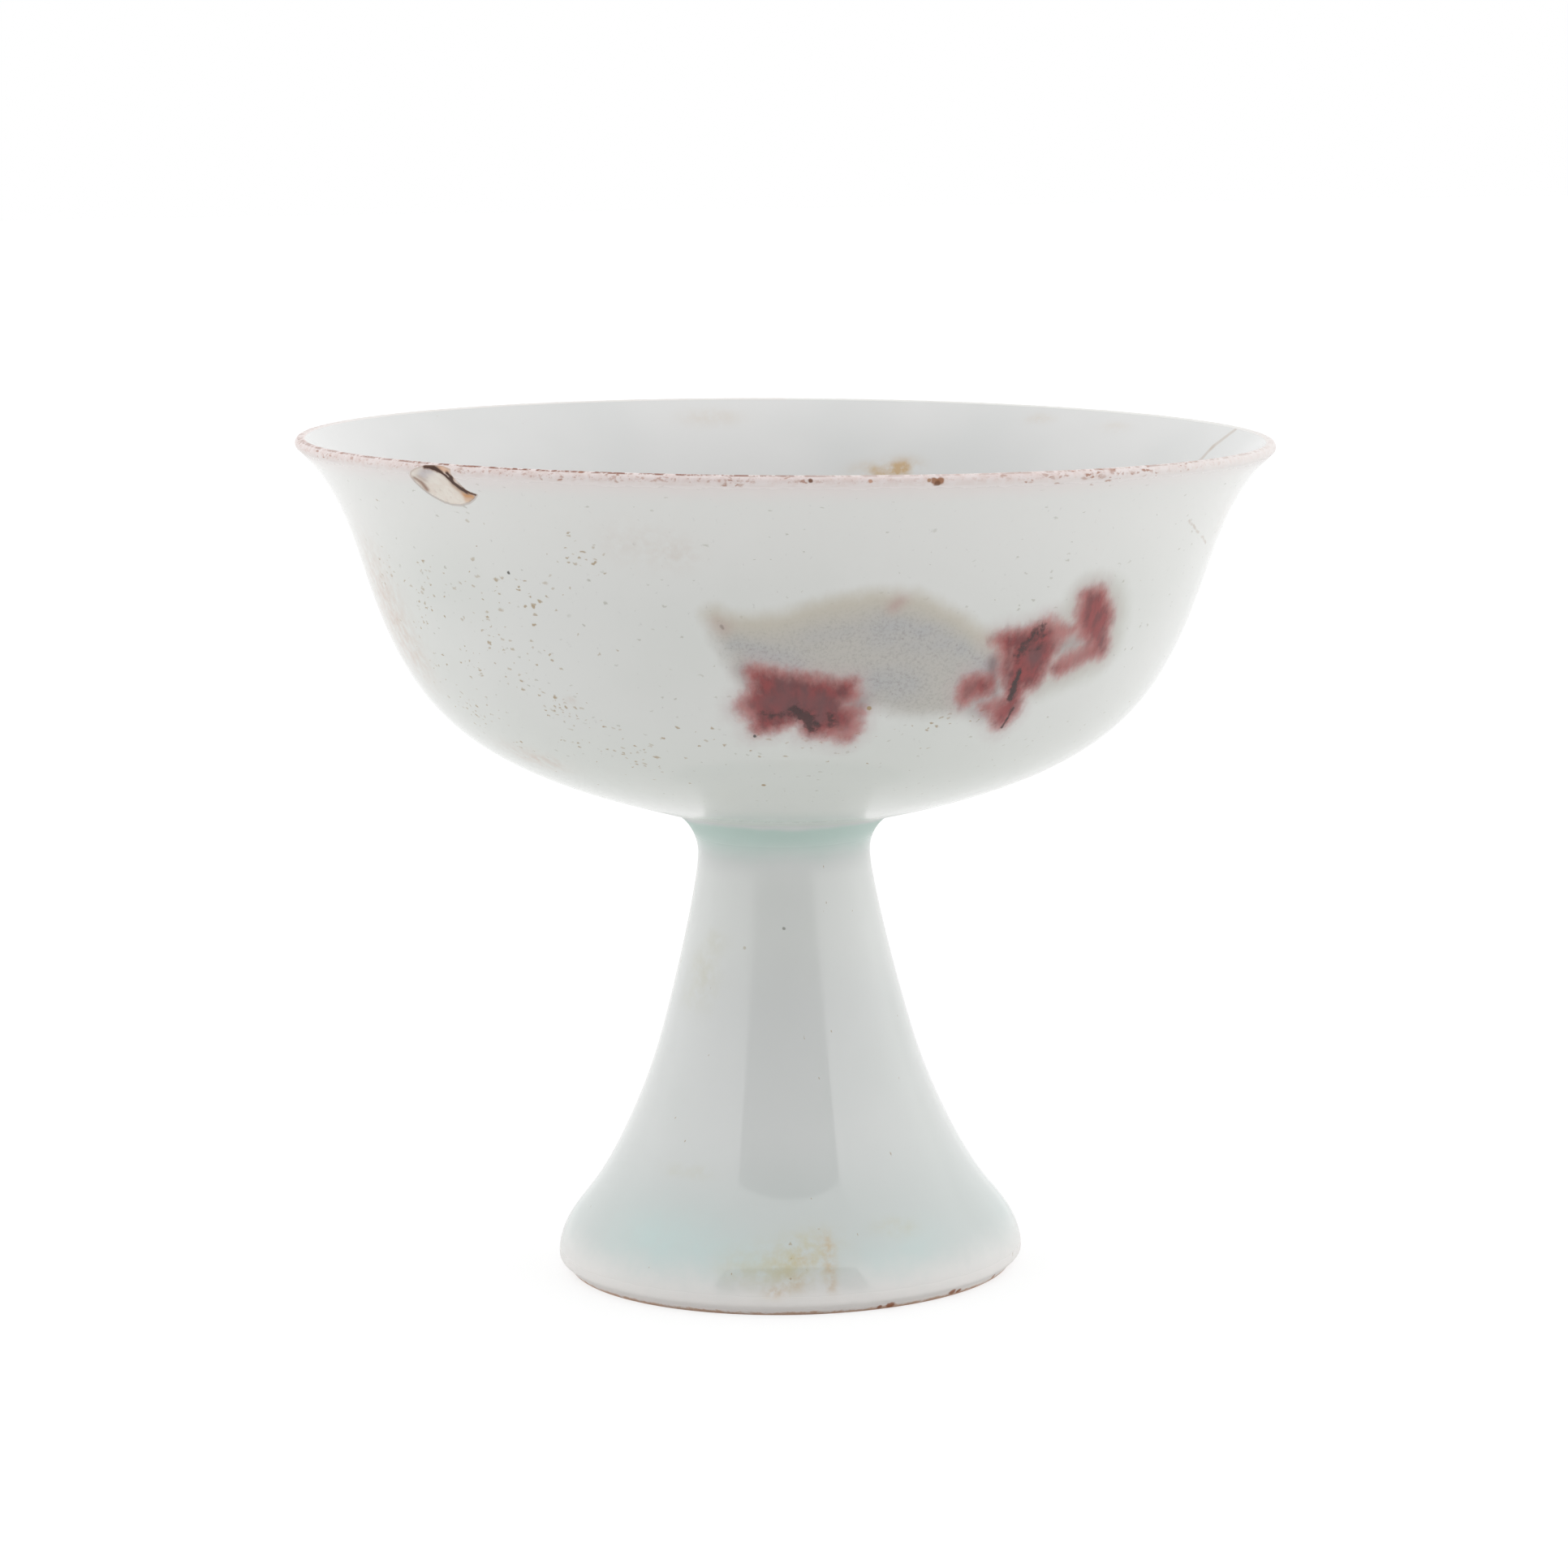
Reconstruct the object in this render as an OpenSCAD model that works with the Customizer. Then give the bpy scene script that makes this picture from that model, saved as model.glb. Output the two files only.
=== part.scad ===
// Stem cup: a thrown bowl luted onto a hollow trumpet stem, glazed inside and out, with copper-red
// fish let into the outer glaze. Millimetres, +Z up, origin at the centre of the foot rim.
// The front of the cup faces -Y, and azimuths run from there towards +X.

/* [Bowl] */
// Outer diameter of the rim
rim_d = 100; // [92:0.5:110]
// Height of the whole cup, foot rim to lip
cup_h = 86.6; // [82:0.1:96]
// Diameter where the belly turns into the flaring wall
wall_d = 86; // [80:0.5:90]
// Height of that turn above the collar under the bowl
belly_h = 25; // [21:0.1:28]
// Slope of the wall at that turn, from horizontal
wall_angle = 72; // [64:0.5:80]
// Slope where the neck runs into the underside, at the collar
underside_angle = 14; // [8:0.5:20]
// Slope of the lip's outer face, from horizontal
lip_angle = 42; // [34:0.5:60]
// How far the underside holds its slope
underside_reach = 22.1; // [16:0.1:26]
// How far the lower wall holds its slope
belly_reach = 14.9; // [10:0.1:18]
// How far the upper wall holds its slope
wall_reach = 5.2; // [3:0.1:7]
// How far the lip holds its slope
lip_reach = 5; // [2:0.1:6.5]
// Thickness of the rounded lip
lip_t = 1.2; // [0.9:0.05:1.8]
// Wall thickness at the turn of the belly
wall_t = 2.4; // [1.8:0.1:3.2]
// Thickness of the floor over the seat
floor_t = 2.9; // [2.4:0.1:5]
// How far the inside floor stays level
floor_reach = 24; // [16:0.5:28]
// How far the inside wall holds its slope
inside_reach = 13; // [9:0.5:16]

/* [Stem] */
// Height of the collar where the stem meets the bowl
stem_h = 47.9; // [43:0.1:53]
// Diameter of that collar
collar_d = 24.3; // [22:0.1:28]
// Diameter of the narrowest place, the waist
waist_d = 17.8; // [16:0.1:19.5]
// Drop from the collar to the waist
waist_drop = 4.4; // [3.6:0.1:6]
// Diameter half way down the stem
shaft_d = 26.7; // [24:0.1:29]
// Height of that place
shaft_z = 23.6; // [21:0.1:27]
// Slope of the stem there, from horizontal
shaft_angle = 107; // [103:0.5:112]
// Diameter where the flare turns into the foot
flare_d = 40.3; // [37:0.1:43]
// Height of that turn
flare_z = 8.9; // [8:0.1:11]
// Slope of the flare there
flare_angle = 125; // [120:0.5:130]
// Greatest diameter of the foot
foot_d = 48.3; // [46:0.1:52]
// Height of the greatest diameter
foot_z = 1.5; // [1.3:0.1:2.4]
// Diameter of the bare base edge
base_d = 45.9; // [44:0.1:46.5]
// Width of the flat foot rim
foot_rim_w = 4.2; // [3:0.1:5.5]
// Thickness of the stem's wall
stem_wall = 3.4; // [2.6:0.1:4.2]
// Height of the hollow in the stem
bore_h = 37.6; // [34:0.1:40]

/* [Joint of bowl and stem] */
// Diameter of the tenon under the bowl
tenon_d = 10; // [8:0.1:12]
// Length of the tenon
tenon_h = 3; // [2:0.1:4]
// Thickness of the luting slip all round the joint
slip_t = 0.4; // [0.2:0.05:0.7]

/* [Glaze] */
// Thickness of the glaze on the bowl and stem
glaze_t = 0.35; // [0.2:0.01:0.5]
// Thickness of the glaze in the stem's hollow
bore_glaze_t = 0.25; // [0.15:0.01:0.4]
// Extra thickness of the pooled roll at the neck
roll_t = 0.3; // [0.15:0.01:0.45]
// Height of that roll, down from the collar
roll_h = 3.8; // [3:0.1:6]
// Height of the bare clay edge at the foot
foot_bare = 0.6; // [0.3:0.05:1]
// Height of the bare clay inside the hollow
bore_bare = 3; // [1:0.1:6]
// Stretch over which the glaze thins out at the foot and the lip
glaze_fade = 4; // [2:0.5:6]

/* [Fish] */
// Length of each fish
fish_l = 44; // [36:0.5:50]
// Height of the fish's middle above the foot rim
fish_z = 69.6; // [66:0.1:72]
// Azimuth of each fish's middle
fish_azimuths = [20, 136, -111]; // [-180:1:180]

/* [Chip] */
// Length of the flake lost from the lip
chip_l = 8.4; // [5:0.1:11]
// Width of the flake
chip_w = 3.4; // [2.4:0.1:4]
// Depth of the flake
chip_depth = 0.6; // [0.4:0.05:0.8]
// Azimuth of the flake's middle
chip_azimuth = -42.5; // [-90:0.5:0]
// Drop from the rim to the flake's middle
chip_drop = 1.9; // [1.6:0.1:3]
// Turn of the flake's length away from level, its left end up
chip_turn = 14; // [0:1:30]

/* [Hidden] */
$fn = 96;
// Straight steps in each curve of an outline
curve_steps = 12;
// Straight steps round the lip
lip_steps = 6;
// Share of the full glaze left where it thins out
thin_share = 0.25;
// Slope of the bare bevel under the foot
bevel_angle = 50;
// Straight steps between two points of a fish outline
fish_steps = 4;
// How far the fish outlines reach out past the rim
fish_reach = 10;

// Curve tools: angles are slopes from horizontal, and a reach is how far the end's slope is held
function unit(a) = [cos(a), sin(a)];
function bezier(a, b, c, d, t) =
    pow(1 - t, 3) * a + 3 * t * pow(1 - t, 2) * b + 3 * t * t * (1 - t) * c + pow(t, 3) * d;
function curve(from, angle, reach, to, to_angle, to_reach) = [
    for (i = [0 : curve_steps])
        bezier(from, from + reach * unit(angle), to - to_reach * unit(to_angle), to, i / curve_steps)
];
function tail(line) = [for (i = [1 : len(line) - 1]) line[i]];
function part_of(line, first, last) = [for (i = [first : last]) line[i]];
function reversed(line) = [for (i = [len(line) - 1 : -1 : 0]) line[i]];

// Right-hand normal of a line at point i, and a line moved to its left by its own list of distances
function heading(line, i) = line[min(i + 1, len(line) - 1)] - line[max(i - 1, 0)];
function normal(line, i) = let (h = heading(line, i)) [h[1], -h[0]] / norm(h);
function inset(line, t) = [for (i = [0 : len(line) - 1]) line[i] - t[i] * normal(line, i)];
// The same for a line that ends on the axis, which it doesn't leave
function inset_to_axis(line, t) = let (moved = inset(line, t), n = len(line) - 1)
    concat(part_of(moved, 0, n - 1), [[0, line[n][1] - t[n] * normal(line, n)[1]]]);

// Finished outline of the outside, from the bare foot edge to the lip
base_edge = [base_d / 2, 0];
bare_edge = base_edge + foot_bare * [1 / tan(bevel_angle), 1];
foot = [foot_d / 2, foot_z];
flare = [flare_d / 2, flare_z];
shaft = [shaft_d / 2, shaft_z];
collar = [collar_d / 2, stem_h];
waist = [waist_d / 2, stem_h - waist_drop];
wall = [wall_d / 2, stem_h + belly_h];
lip_r = lip_t / 2;
lip_middle = [rim_d / 2 - lip_r, cup_h - lip_r];
lip_outer = lip_middle + lip_r * unit(lip_angle - 90);
lip_inner = lip_middle + lip_r * unit(lip_angle + 90);

// Reaches of the stem's curves, bottom to top
foot_reach = 0.5;
swell_reach = 3;
flare_reach = 4;
shaft_reach = 5.5;
waist_reach = 3;
neck_reach = 1.9;
collar_reach = 2.1;

foot_line = curve(bare_edge, bevel_angle, foot_reach, foot, 90, foot_reach);
swell_line = curve(foot, 90, swell_reach, flare, flare_angle, swell_reach);
flare_line = curve(flare, flare_angle, flare_reach, shaft, shaft_angle, shaft_reach);
shaft_line = curve(shaft, shaft_angle, shaft_reach, waist, 90, waist_reach);
neck_line = curve(waist, 90, neck_reach, collar, underside_angle, collar_reach);
belly_line = curve(collar, underside_angle, underside_reach, wall, wall_angle, belly_reach);
upper_line = curve(wall, wall_angle, wall_reach, lip_outer, lip_angle, lip_reach);
outside = concat(foot_line, tail(swell_line), tail(flare_line), tail(shaft_line), tail(neck_line),
    tail(belly_line), tail(upper_line));
collar_i = 5 * curve_steps;
lip_i = 7 * curve_steps;

// The pooled roll swells between its lower edge and the collar; under it lie the glaze and the clay
roll_z = stem_h - roll_h;
roll_from_i = [for (i = [0 : collar_i]) if (outside[i][1] > roll_z) i][0] - 1;
function roll_at(i) = i <= roll_from_i || i > collar_i ? 0 :
    roll_t * pow(sin(180 * (outside[i][1] - roll_z) / roll_h), 2);
function glaze_at(z) =
    glaze_t * max(thin_share, min(1, (z - foot_bare) / glaze_fade, (lip_outer[1] - z) / glaze_fade));
glazed = inset(outside, [for (i = [0 : lip_i]) roll_at(i)]);
clay = inset(outside, [for (i = [0 : lip_i]) roll_at(i) + glaze_at(outside[i][1])]);

// Finished outline of the bowl's inside, from the lip to the axis, and the clay under its glaze
seat_z = clay[collar_i][1];
floor_middle = [0, seat_z + floor_t];
wall_inside = wall + wall_t * unit(wall_angle + 90);
inside = concat(
    curve(lip_inner, lip_angle + 180, lip_reach, wall_inside, wall_angle + 180, wall_reach),
    tail(curve(wall_inside, wall_angle + 180, inside_reach, floor_middle, 180, floor_reach)));
inside_clay = inset_to_axis(inside, [for (p = inside) glaze_at(p[1])]);

// Hollow of the stem, from the foot rim to the axis, as clay and as glaze
bore_angle = 97;
bore_reach = 1.8;
bore_dome_reach = 7;
bore_top_reach = 4.5;
bore_edge = [base_d / 2 - foot_rim_w, 0];
bore_start = bore_edge + bore_bare * unit(bore_angle);
bore_flare = flare + stem_wall * unit(flare_angle + 90);
bore_shaft = shaft + stem_wall * unit(shaft_angle + 90);
bore_top = [0, bore_h];
bore = concat(
    curve(bore_start, bore_angle, bore_reach, bore_flare, flare_angle, bore_reach),
    tail(curve(bore_flare, flare_angle, flare_reach, bore_shaft, shaft_angle, shaft_reach)),
    tail(curve(bore_shaft, shaft_angle, bore_dome_reach, bore_top, 180, bore_top_reach)));
bore_glazed = inset_to_axis(bore, [for (p = bore)
    bore_glaze_t * max(thin_share, min(1, (p[1] - bore_bare) / glaze_fade))]);

// Joint: the tenon sits in a socket that is larger by the slip all round
socket_d = tenon_d + 2 * slip_t;
tenon_z = seat_z - tenon_h;
socket_z = tenon_z - slip_t;
slip_z = seat_z - slip_t;
stem_clay = part_of(clay, 0, collar_i);
slip_edge = [lookup(slip_z, [for (p = stem_clay) [p[1], p[0]]]), slip_z];

// Turns a half outline into a solid
module turned(outline) {
    rotate_extrude() polygon(outline);
}

// Fish outlines, side on, in hundredths of the fish's length: nose on the left, middle at the origin
fish_body = [[-48.5, 8], [-42, 6], [-33, 8], [-22, 12], [-11, 13.5], [0, 12], [10, 6.5], [15, 2.5],
    [12, -7], [6, -13.5], [-7, -15], [-20, -13], [-41, -6], [-45, 0.5]];
fish_halo = [[24, 2], [31, 9], [36, 13], [42, 12.5], [47.5, 9], [49.5, 2.5], [48.5, -4], [45, -8],
    [38, -11.5], [30, -13], [25, -6]];
fish_fin = [[-40, -5], [-30, -5.5], [-20, -7], [-16, -8.5], [-12.5, -11.5], [-14.5, -14], [-13.5, -17.5],
    [-15.5, -21], [-23, -21], [-26.5, -17.5], [-36, -19.5], [-41, -13.5], [-38, -9.5]];
fish_tail = [[9, -8], [11.5, -6], [12, -1], [15, 3], [27, 4.5], [35, 2], [35, -1], [29, -4],
    [30.5, -8], [25, -12], [23, -17], [21, -20.5], [17, -18], [14, -14.5], [9, -12]];
fish_lobe = [[36, 9.5], [40, 10.5], [43, 8.5], [45.5, 4], [46, -1.5], [43, -4.5], [39, -2], [36.8, 2],
    [35.5, 6]];

// Closed smooth line through a list of points: each span bends by the points on both sides of it
function smooth_span(a, b, c, d, t) =
    b + t * (c - a) / 2 + t * t * (a - 2.5 * b + 2 * c - d / 2)
    + pow(t, 3) * (1.5 * b - a / 2 - 1.5 * c + d / 2);
function smooth_loop(p) = let (n = len(p)) [
    for (i = [0 : n - 1], k = [0 : fish_steps - 1])
        smooth_span(p[(i + n - 1) % n], p[i], p[(i + 1) % n], p[(i + 2) % n], k / fish_steps)
];

module fish_grey() {
    polygon(smooth_loop(fish_body));
    polygon(smooth_loop(fish_halo));
}

module fish_marks() {
    polygon(smooth_loop(fish_fin));
    polygon(smooth_loop(fish_tail));
    polygon(smooth_loop(fish_lobe));
}

// Every fish's outline carried straight out through the wall
module through_wall() {
    for (azimuth = fish_azimuths)
        rotate([0, 0, azimuth])
            translate([0, 0, fish_z])
                rotate([90, 0, 0])
                    linear_extrude(rim_d / 2 + fish_reach)
                        scale(fish_l / 100) children();
}

// Outer glaze of the bowl before the fish are let into it
module bowl_coat() {
    difference() {
        turned(concat(part_of(glazed, collar_i, lip_i), reversed(part_of(clay, collar_i, lip_i))));
        lip_chip();
    }
}

// Barrel-shaped scoop that cuts a flake of the chip's length, width and depth out of the lip's face
module lip_chip() {
    chip_z = cup_h - chip_drop;
    chip_face = [lookup(chip_z, [for (p = upper_line) [p[1], p[0]]]), chip_z];
    scoop_r = (chip_w * chip_w / 4 + chip_depth * chip_depth) / (2 * chip_depth);
    rim_sag = chip_l * chip_l / (8 * chip_face[0]);
    scoop = [for (i = [0 : curve_steps])
        let (x = i / curve_steps * 2 - 1) [scoop_r - (chip_depth - rim_sag) * x * x, x * chip_l / 2]];
    middle = chip_face + (scoop_r - chip_depth) * unit(lip_angle - 90);
    rotate([0, 0, chip_azimuth - 90])
        translate([middle[0], 0, middle[1]])
            rotate([0, 90 - lip_angle, 0])
                rotate([90 - chip_turn, 0, 0])
                    rotate_extrude() polygon(concat([[0, -chip_l / 2]], scoop, [[0, chip_l / 2]]));
}

module bowl_body() {
    lip_arc = [for (i = [0 : lip_steps]) lip_middle + lip_r * unit(lip_angle - 90 + 180 * i / lip_steps)];
    color("#efe4dc") difference() {
        turned(concat(part_of(clay, collar_i, lip_i), lip_arc, inside_clay,
            [[0, tenon_z], [tenon_d / 2, tenon_z], [tenon_d / 2, seat_z]]));
        lip_chip();
    }
}

module stem_body() {
    below_slip = [for (p = stem_clay) if (p[1] < slip_z) p];
    color("#e9d9cc") turned(concat([base_edge, bare_edge], below_slip, [slip_edge,
        [socket_d / 2, slip_z], [socket_d / 2, socket_z], [0, socket_z]], reversed(bore), [bore_edge]));
}

module luting_slip() {
    rim = [for (p = stem_clay) if (p[1] > slip_z) p];
    color("#d8c4b4") turned(concat([[0, socket_z], [socket_d / 2, socket_z], [socket_d / 2, slip_z],
        slip_edge], rim, [[tenon_d / 2, seat_z], [tenon_d / 2, tenon_z], [0, tenon_z]]));
}

module bowl_outer_glaze() {
    color("#d9dedb") difference() {
        bowl_coat();
        through_wall() fish_grey();
        through_wall() fish_marks();
    }
}

module bowl_inner_glaze() {
    color("#e2e4e2") turned(concat(inside, reversed(inside_clay)));
}

module stem_outer_glaze() {
    color("#d4dbd8") turned(concat(part_of(glazed, 0, collar_i), reversed(stem_clay)));
}

module stem_bore_glaze() {
    color("#dfe3e0") turned(concat(bore, reversed(bore_glazed)));
}

module neck_glaze_roll() {
    color("#a9c0b8") turned(concat(part_of(outside, roll_from_i, collar_i),
        reversed(part_of(glazed, roll_from_i + 1, collar_i - 1))));
}

module fish_wash() {
    color("#a9a8a6") difference() {
        intersection() {
            bowl_coat();
            through_wall() fish_grey();
        }
        through_wall() fish_marks();
    }
}

module fish_red() {
    color("#86464a") intersection() {
        bowl_coat();
        through_wall() fish_marks();
    }
}

bowl_body();
stem_body();
luting_slip();
bowl_outer_glaze();
bowl_inner_glaze();
stem_outer_glaze();
stem_bore_glaze();
neck_glaze_roll();
fish_wash();
fish_red();
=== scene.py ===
import math

import bpy
import numpy as np
from mathutils import Matrix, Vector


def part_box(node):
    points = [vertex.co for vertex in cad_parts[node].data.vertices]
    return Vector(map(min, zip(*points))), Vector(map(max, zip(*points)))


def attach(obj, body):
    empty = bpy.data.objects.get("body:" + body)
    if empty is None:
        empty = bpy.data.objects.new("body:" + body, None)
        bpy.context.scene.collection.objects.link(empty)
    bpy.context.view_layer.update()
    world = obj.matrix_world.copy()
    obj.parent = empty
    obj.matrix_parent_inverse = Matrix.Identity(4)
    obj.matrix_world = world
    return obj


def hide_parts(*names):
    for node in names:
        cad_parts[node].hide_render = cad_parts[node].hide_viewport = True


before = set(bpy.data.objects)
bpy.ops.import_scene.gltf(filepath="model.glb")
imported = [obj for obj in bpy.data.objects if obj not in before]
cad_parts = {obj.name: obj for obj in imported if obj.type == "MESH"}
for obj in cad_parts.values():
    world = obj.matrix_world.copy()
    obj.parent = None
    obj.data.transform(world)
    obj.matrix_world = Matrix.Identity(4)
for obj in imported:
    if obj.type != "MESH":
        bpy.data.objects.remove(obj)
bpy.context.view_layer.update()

# A stem cup of glazed porcelain with copper-red fish. Every piece is a surface of revolution, worked out
# in millimetres as rows along a half outline and columns round the axis, then leaned as the hand left it.
# Azimuths are in degrees from the front, -Y, towards +X. Outlines are points (radius, height).
MM = 0.001


def box_of(node):
    """Lowest and highest corner of a CAD node, in millimetres."""
    low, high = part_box(node)
    return np.array(low) / MM, np.array(high) / MM


# Sizes taken from the frame
rim_r, _, cup_h = box_of("bowl_body")[1]
tenon_z = box_of("bowl_body")[0][2]
stem_h = box_of("bowl_outer_glaze")[0][2]
foot_r = box_of("stem_outer_glaze")[1][0]
collar_r = box_of("neck_glaze_roll")[1][0]
bore_h = box_of("stem_bore_glaze")[1][2]
socket_z = box_of("luting_slip")[0][2]

# Bowl
wall_r, belly_h, wall_angle = 43.0, 25.0, 72
underside_angle, underside_reach, belly_reach = 14, 22.1, 14.9
lip_angle, lip_t, wall_reach, lip_reach = 42, 1.2, 5.2, 5.0
wall_t, floor_t, floor_reach, inside_reach = 2.4, 2.9, 24.0, 13.0

# Stem
waist_r, waist_drop, waist_reach = 8.9, 4.4, 3.0
shaft_r, shaft_z, shaft_angle, shaft_reach = 13.35, 23.6, 107, 5.5
flare_r, flare_z, flare_angle, flare_reach = 20.15, 8.9, 125, 4.0
foot_z, base_r, foot_rim_w, stem_wall = 1.5, 22.95, 4.2, 3.4
foot_reach, swell_reach, bevel_angle = 0.5, 3.0, 50
neck_reach, collar_reach = 1.9, 2.1
bore_angle, bore_reach, bore_dome_reach, bore_top_reach = 97, 1.8, 7.0, 4.5
tenon_r, slip_t = 5.0, 0.4

# Glaze
glaze_t, bore_glaze_t, thin_share, glaze_fade = 0.35, 0.25, 0.25, 4.0
roll_t, roll_h, foot_bare, bore_bare = 0.3, 3.8, 0.6, 3.0

# What the hand left: the bowl leans to the right on its stem, and the rim waves a little
bowl_lean, lean_z, lean_blend = 1.15, 46.1, 3.5
rim_wave, rim_oval, oval_turn, wave_from_z = 0.11, 0.05, 0.6, 61.6

# Mesh columns round the axis as (from, to, step) azimuths, finer across the first fish and the lip's flake
column_spans = ((-180, -50, 1.0), (-50, -35, 0.15), (-35, -12, 1.0), (-12, 54, 0.55), (54, 180, 1.0))

# Bake map: its margin, and how far rows that don't show are squeezed. Edges are sharp from sharp_angle on
hidden_share, map_margin, sharp_angle = 0.15, 0.012, 38


def unit(angle):
    """Unit vector at a slope in degrees from horizontal."""
    return np.array([math.cos(math.radians(angle)), math.sin(math.radians(angle))])


def smoothstep(low, high, value):
    """0 below low, 1 above high, and 3t^2 - 2t^3 between them."""
    t = np.clip((value - low) / (high - low), 0, 1)
    return t * t * (3 - 2 * t)


def shares(*spans):
    """Rising shares of a curve, from spans of (from, to, number of steps)."""
    return np.concatenate([[spans[0][0]]] + [np.linspace(low, high, n + 1)[1:] for low, high, n in spans])


def curve(start, angle, reach, end, end_angle, end_reach, steps):
    """Cubic from start to end that leaves and arrives at the given slopes and holds each for its reach.
    steps is the number of even steps, or a list of shares of the way."""
    t = (np.linspace(0, 1, steps + 1) if isinstance(steps, int) else steps)[:, None]
    first, second = start + reach * unit(angle), end - end_reach * unit(end_angle)
    return (1 - t) ** 3 * start + 3 * t * (1 - t) ** 2 * first + 3 * t * t * (1 - t) * second + t ** 3 * end


def straight(start, end, steps):
    """Even steps on the line from start to end."""
    return np.linspace(start, end, steps + 1)


def chain(*lines):
    """Lines joined end to end, with each shared point kept once."""
    return np.concatenate([lines[0]] + [line[1:] for line in lines[1:]])


def normals(line):
    """Right-hand unit normals of a line, from the step between each point's two neighbours."""
    step = np.gradient(line, axis=0)
    return np.stack([step[:, 1], -step[:, 0]], 1) / np.linalg.norm(step, axis=1)[:, None]


def inset(line, depth):
    """The line moved to its left by its own depths, without crossing the axis."""
    moved = line - np.broadcast_to(depth, len(line))[:, None] * normals(line)
    moved[line[:, 0] == 0, 0] = 0
    return moved


def glaze_at(z):
    """Glaze thickness at a height: full, but thinning out over glaze_fade at the foot and the lip."""
    share = np.minimum((z - foot_bare) / glaze_fade, (lip_outer[1] - z) / glaze_fade)
    return glaze_t * np.clip(share, thin_share, 1)


def roll_at(z):
    """Extra thickness of the pooled roll: a sine squared from its lower edge to the collar."""
    share = np.clip((z - stem_h + roll_h) / roll_h, 0, 1)
    return roll_t * np.sin(np.pi * share) ** 2


# Finished outline of the outside, bottom to top
base_edge = np.array([base_r, 0.0])
bare_edge = base_edge + foot_bare * np.array([1 / math.tan(math.radians(bevel_angle)), 1])
foot = np.array([foot_r, foot_z])
flare = np.array([flare_r, flare_z])
shaft = np.array([shaft_r, shaft_z])
waist = np.array([waist_r, stem_h - waist_drop])
collar = np.array([collar_r, stem_h])
wall = np.array([wall_r, stem_h + belly_h])
lip_r = lip_t / 2
lip_middle = np.array([rim_r - lip_r, cup_h - lip_r])
lip_outer = lip_middle + lip_r * unit(lip_angle - 90)
lip_inner = lip_middle + lip_r * unit(lip_angle + 90)

foot_line = curve(bare_edge, bevel_angle, foot_reach, foot, 90, foot_reach, 10)
swell_line = curve(foot, 90, swell_reach, flare, flare_angle, swell_reach, 22)
flare_line = curve(flare, flare_angle, flare_reach, shaft, shaft_angle, shaft_reach, 26)
shaft_line = curve(shaft, shaft_angle, shaft_reach, waist, 90, waist_reach, 32)
neck_line = curve(waist, 90, neck_reach, collar, underside_angle, collar_reach, 24)
belly_line = curve(collar, underside_angle, underside_reach, wall, wall_angle, belly_reach,
                   shares((0, 0.5, 26), (0.5, 1, 58)))
upper_line = curve(wall, wall_angle, wall_reach, lip_outer, lip_angle, lip_reach,
                   shares((0, 0.55, 24), (0.55, 1, 44)))
stem_line = chain(foot_line, swell_line, flare_line, shaft_line, neck_line)
bowl_line = chain(belly_line, upper_line)
lip_arc = lip_middle + lip_r * np.array([unit(lip_angle - 90 + turn) for turn in np.linspace(0, 180, 25)])
half_lip = len(lip_arc) // 2

# The glaze and the clay under the outside
stem_glazed = inset(stem_line, roll_at(stem_line[:, 1]))
stem_clay_line = inset(stem_line, roll_at(stem_line[:, 1]) + glaze_at(stem_line[:, 1]))
bowl_clay_line = inset(bowl_line, glaze_at(bowl_line[:, 1]))
seat = bowl_clay_line[0]

# Finished outline of the bowl's inside, from the lip to the axis, and the clay under it
wall_inside = wall + wall_t * unit(wall_angle + 90)
floor_middle = np.array([0.0, seat[1] + floor_t])
inside_line = chain(
    curve(lip_inner, lip_angle + 180, lip_reach, wall_inside, wall_angle + 180, wall_reach, 40),
    curve(wall_inside, wall_angle + 180, inside_reach, floor_middle, 180, floor_reach, 50))
inside_clay_line = inset(inside_line, glaze_at(inside_line[:, 1]))

# Hollow of the stem, from the foot rim to the axis, as clay and as glaze
bore_edge = np.array([base_r - foot_rim_w, 0.0])
bore_start = bore_edge + bore_bare * unit(bore_angle)
bore_flare = flare + stem_wall * unit(flare_angle + 90)
bore_shaft = shaft + stem_wall * unit(shaft_angle + 90)
bore_line = chain(
    curve(bore_start, bore_angle, bore_reach, bore_flare, flare_angle, bore_reach, 12),
    curve(bore_flare, flare_angle, flare_reach, bore_shaft, shaft_angle, shaft_reach, 20),
    curve(bore_shaft, shaft_angle, bore_dome_reach, np.array([0.0, bore_h]), 180, bore_top_reach, 28))
bore_share = np.clip((bore_line[:, 1] - bore_bare) / glaze_fade, thin_share, 1)
bore_glaze_line = inset(bore_line, bore_glaze_t * bore_share)

azimuths = np.concatenate([np.linspace(low, high, round((high - low) / step), endpoint=False)
                           for low, high, step in column_spans])


def hand_lean(places):
    """The turned shape as the hand left it: above the neck it turns about the Y axis, through bowl_lean
    degrees, and towards the rim its radius and height wave by small cosines of the azimuth."""
    x, y, z = places.T
    az = np.arctan2(x, -y)
    rise = smoothstep(wave_from_z, cup_h, z)
    oval = 1 + rise * rim_oval / rim_r * np.cos(2 * az - oval_turn)
    x, y = x * oval, y * oval
    z = z + rise * rim_wave * (np.cos(az) + np.cos(2 * az))
    turn = np.radians(bowl_lean) * smoothstep(lean_z - lean_blend, lean_z + lean_blend, z)
    up = z - lean_z
    cos, sin = np.cos(turn), np.sin(turn)
    return np.stack([x * cos + up * sin, y, lean_z - x * sin + up * cos], 1)


def along(line):
    """Distance along a line at each of its points."""
    return np.concatenate([[0], np.cumsum(np.linalg.norm(np.diff(line, axis=0), axis=1))])


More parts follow.
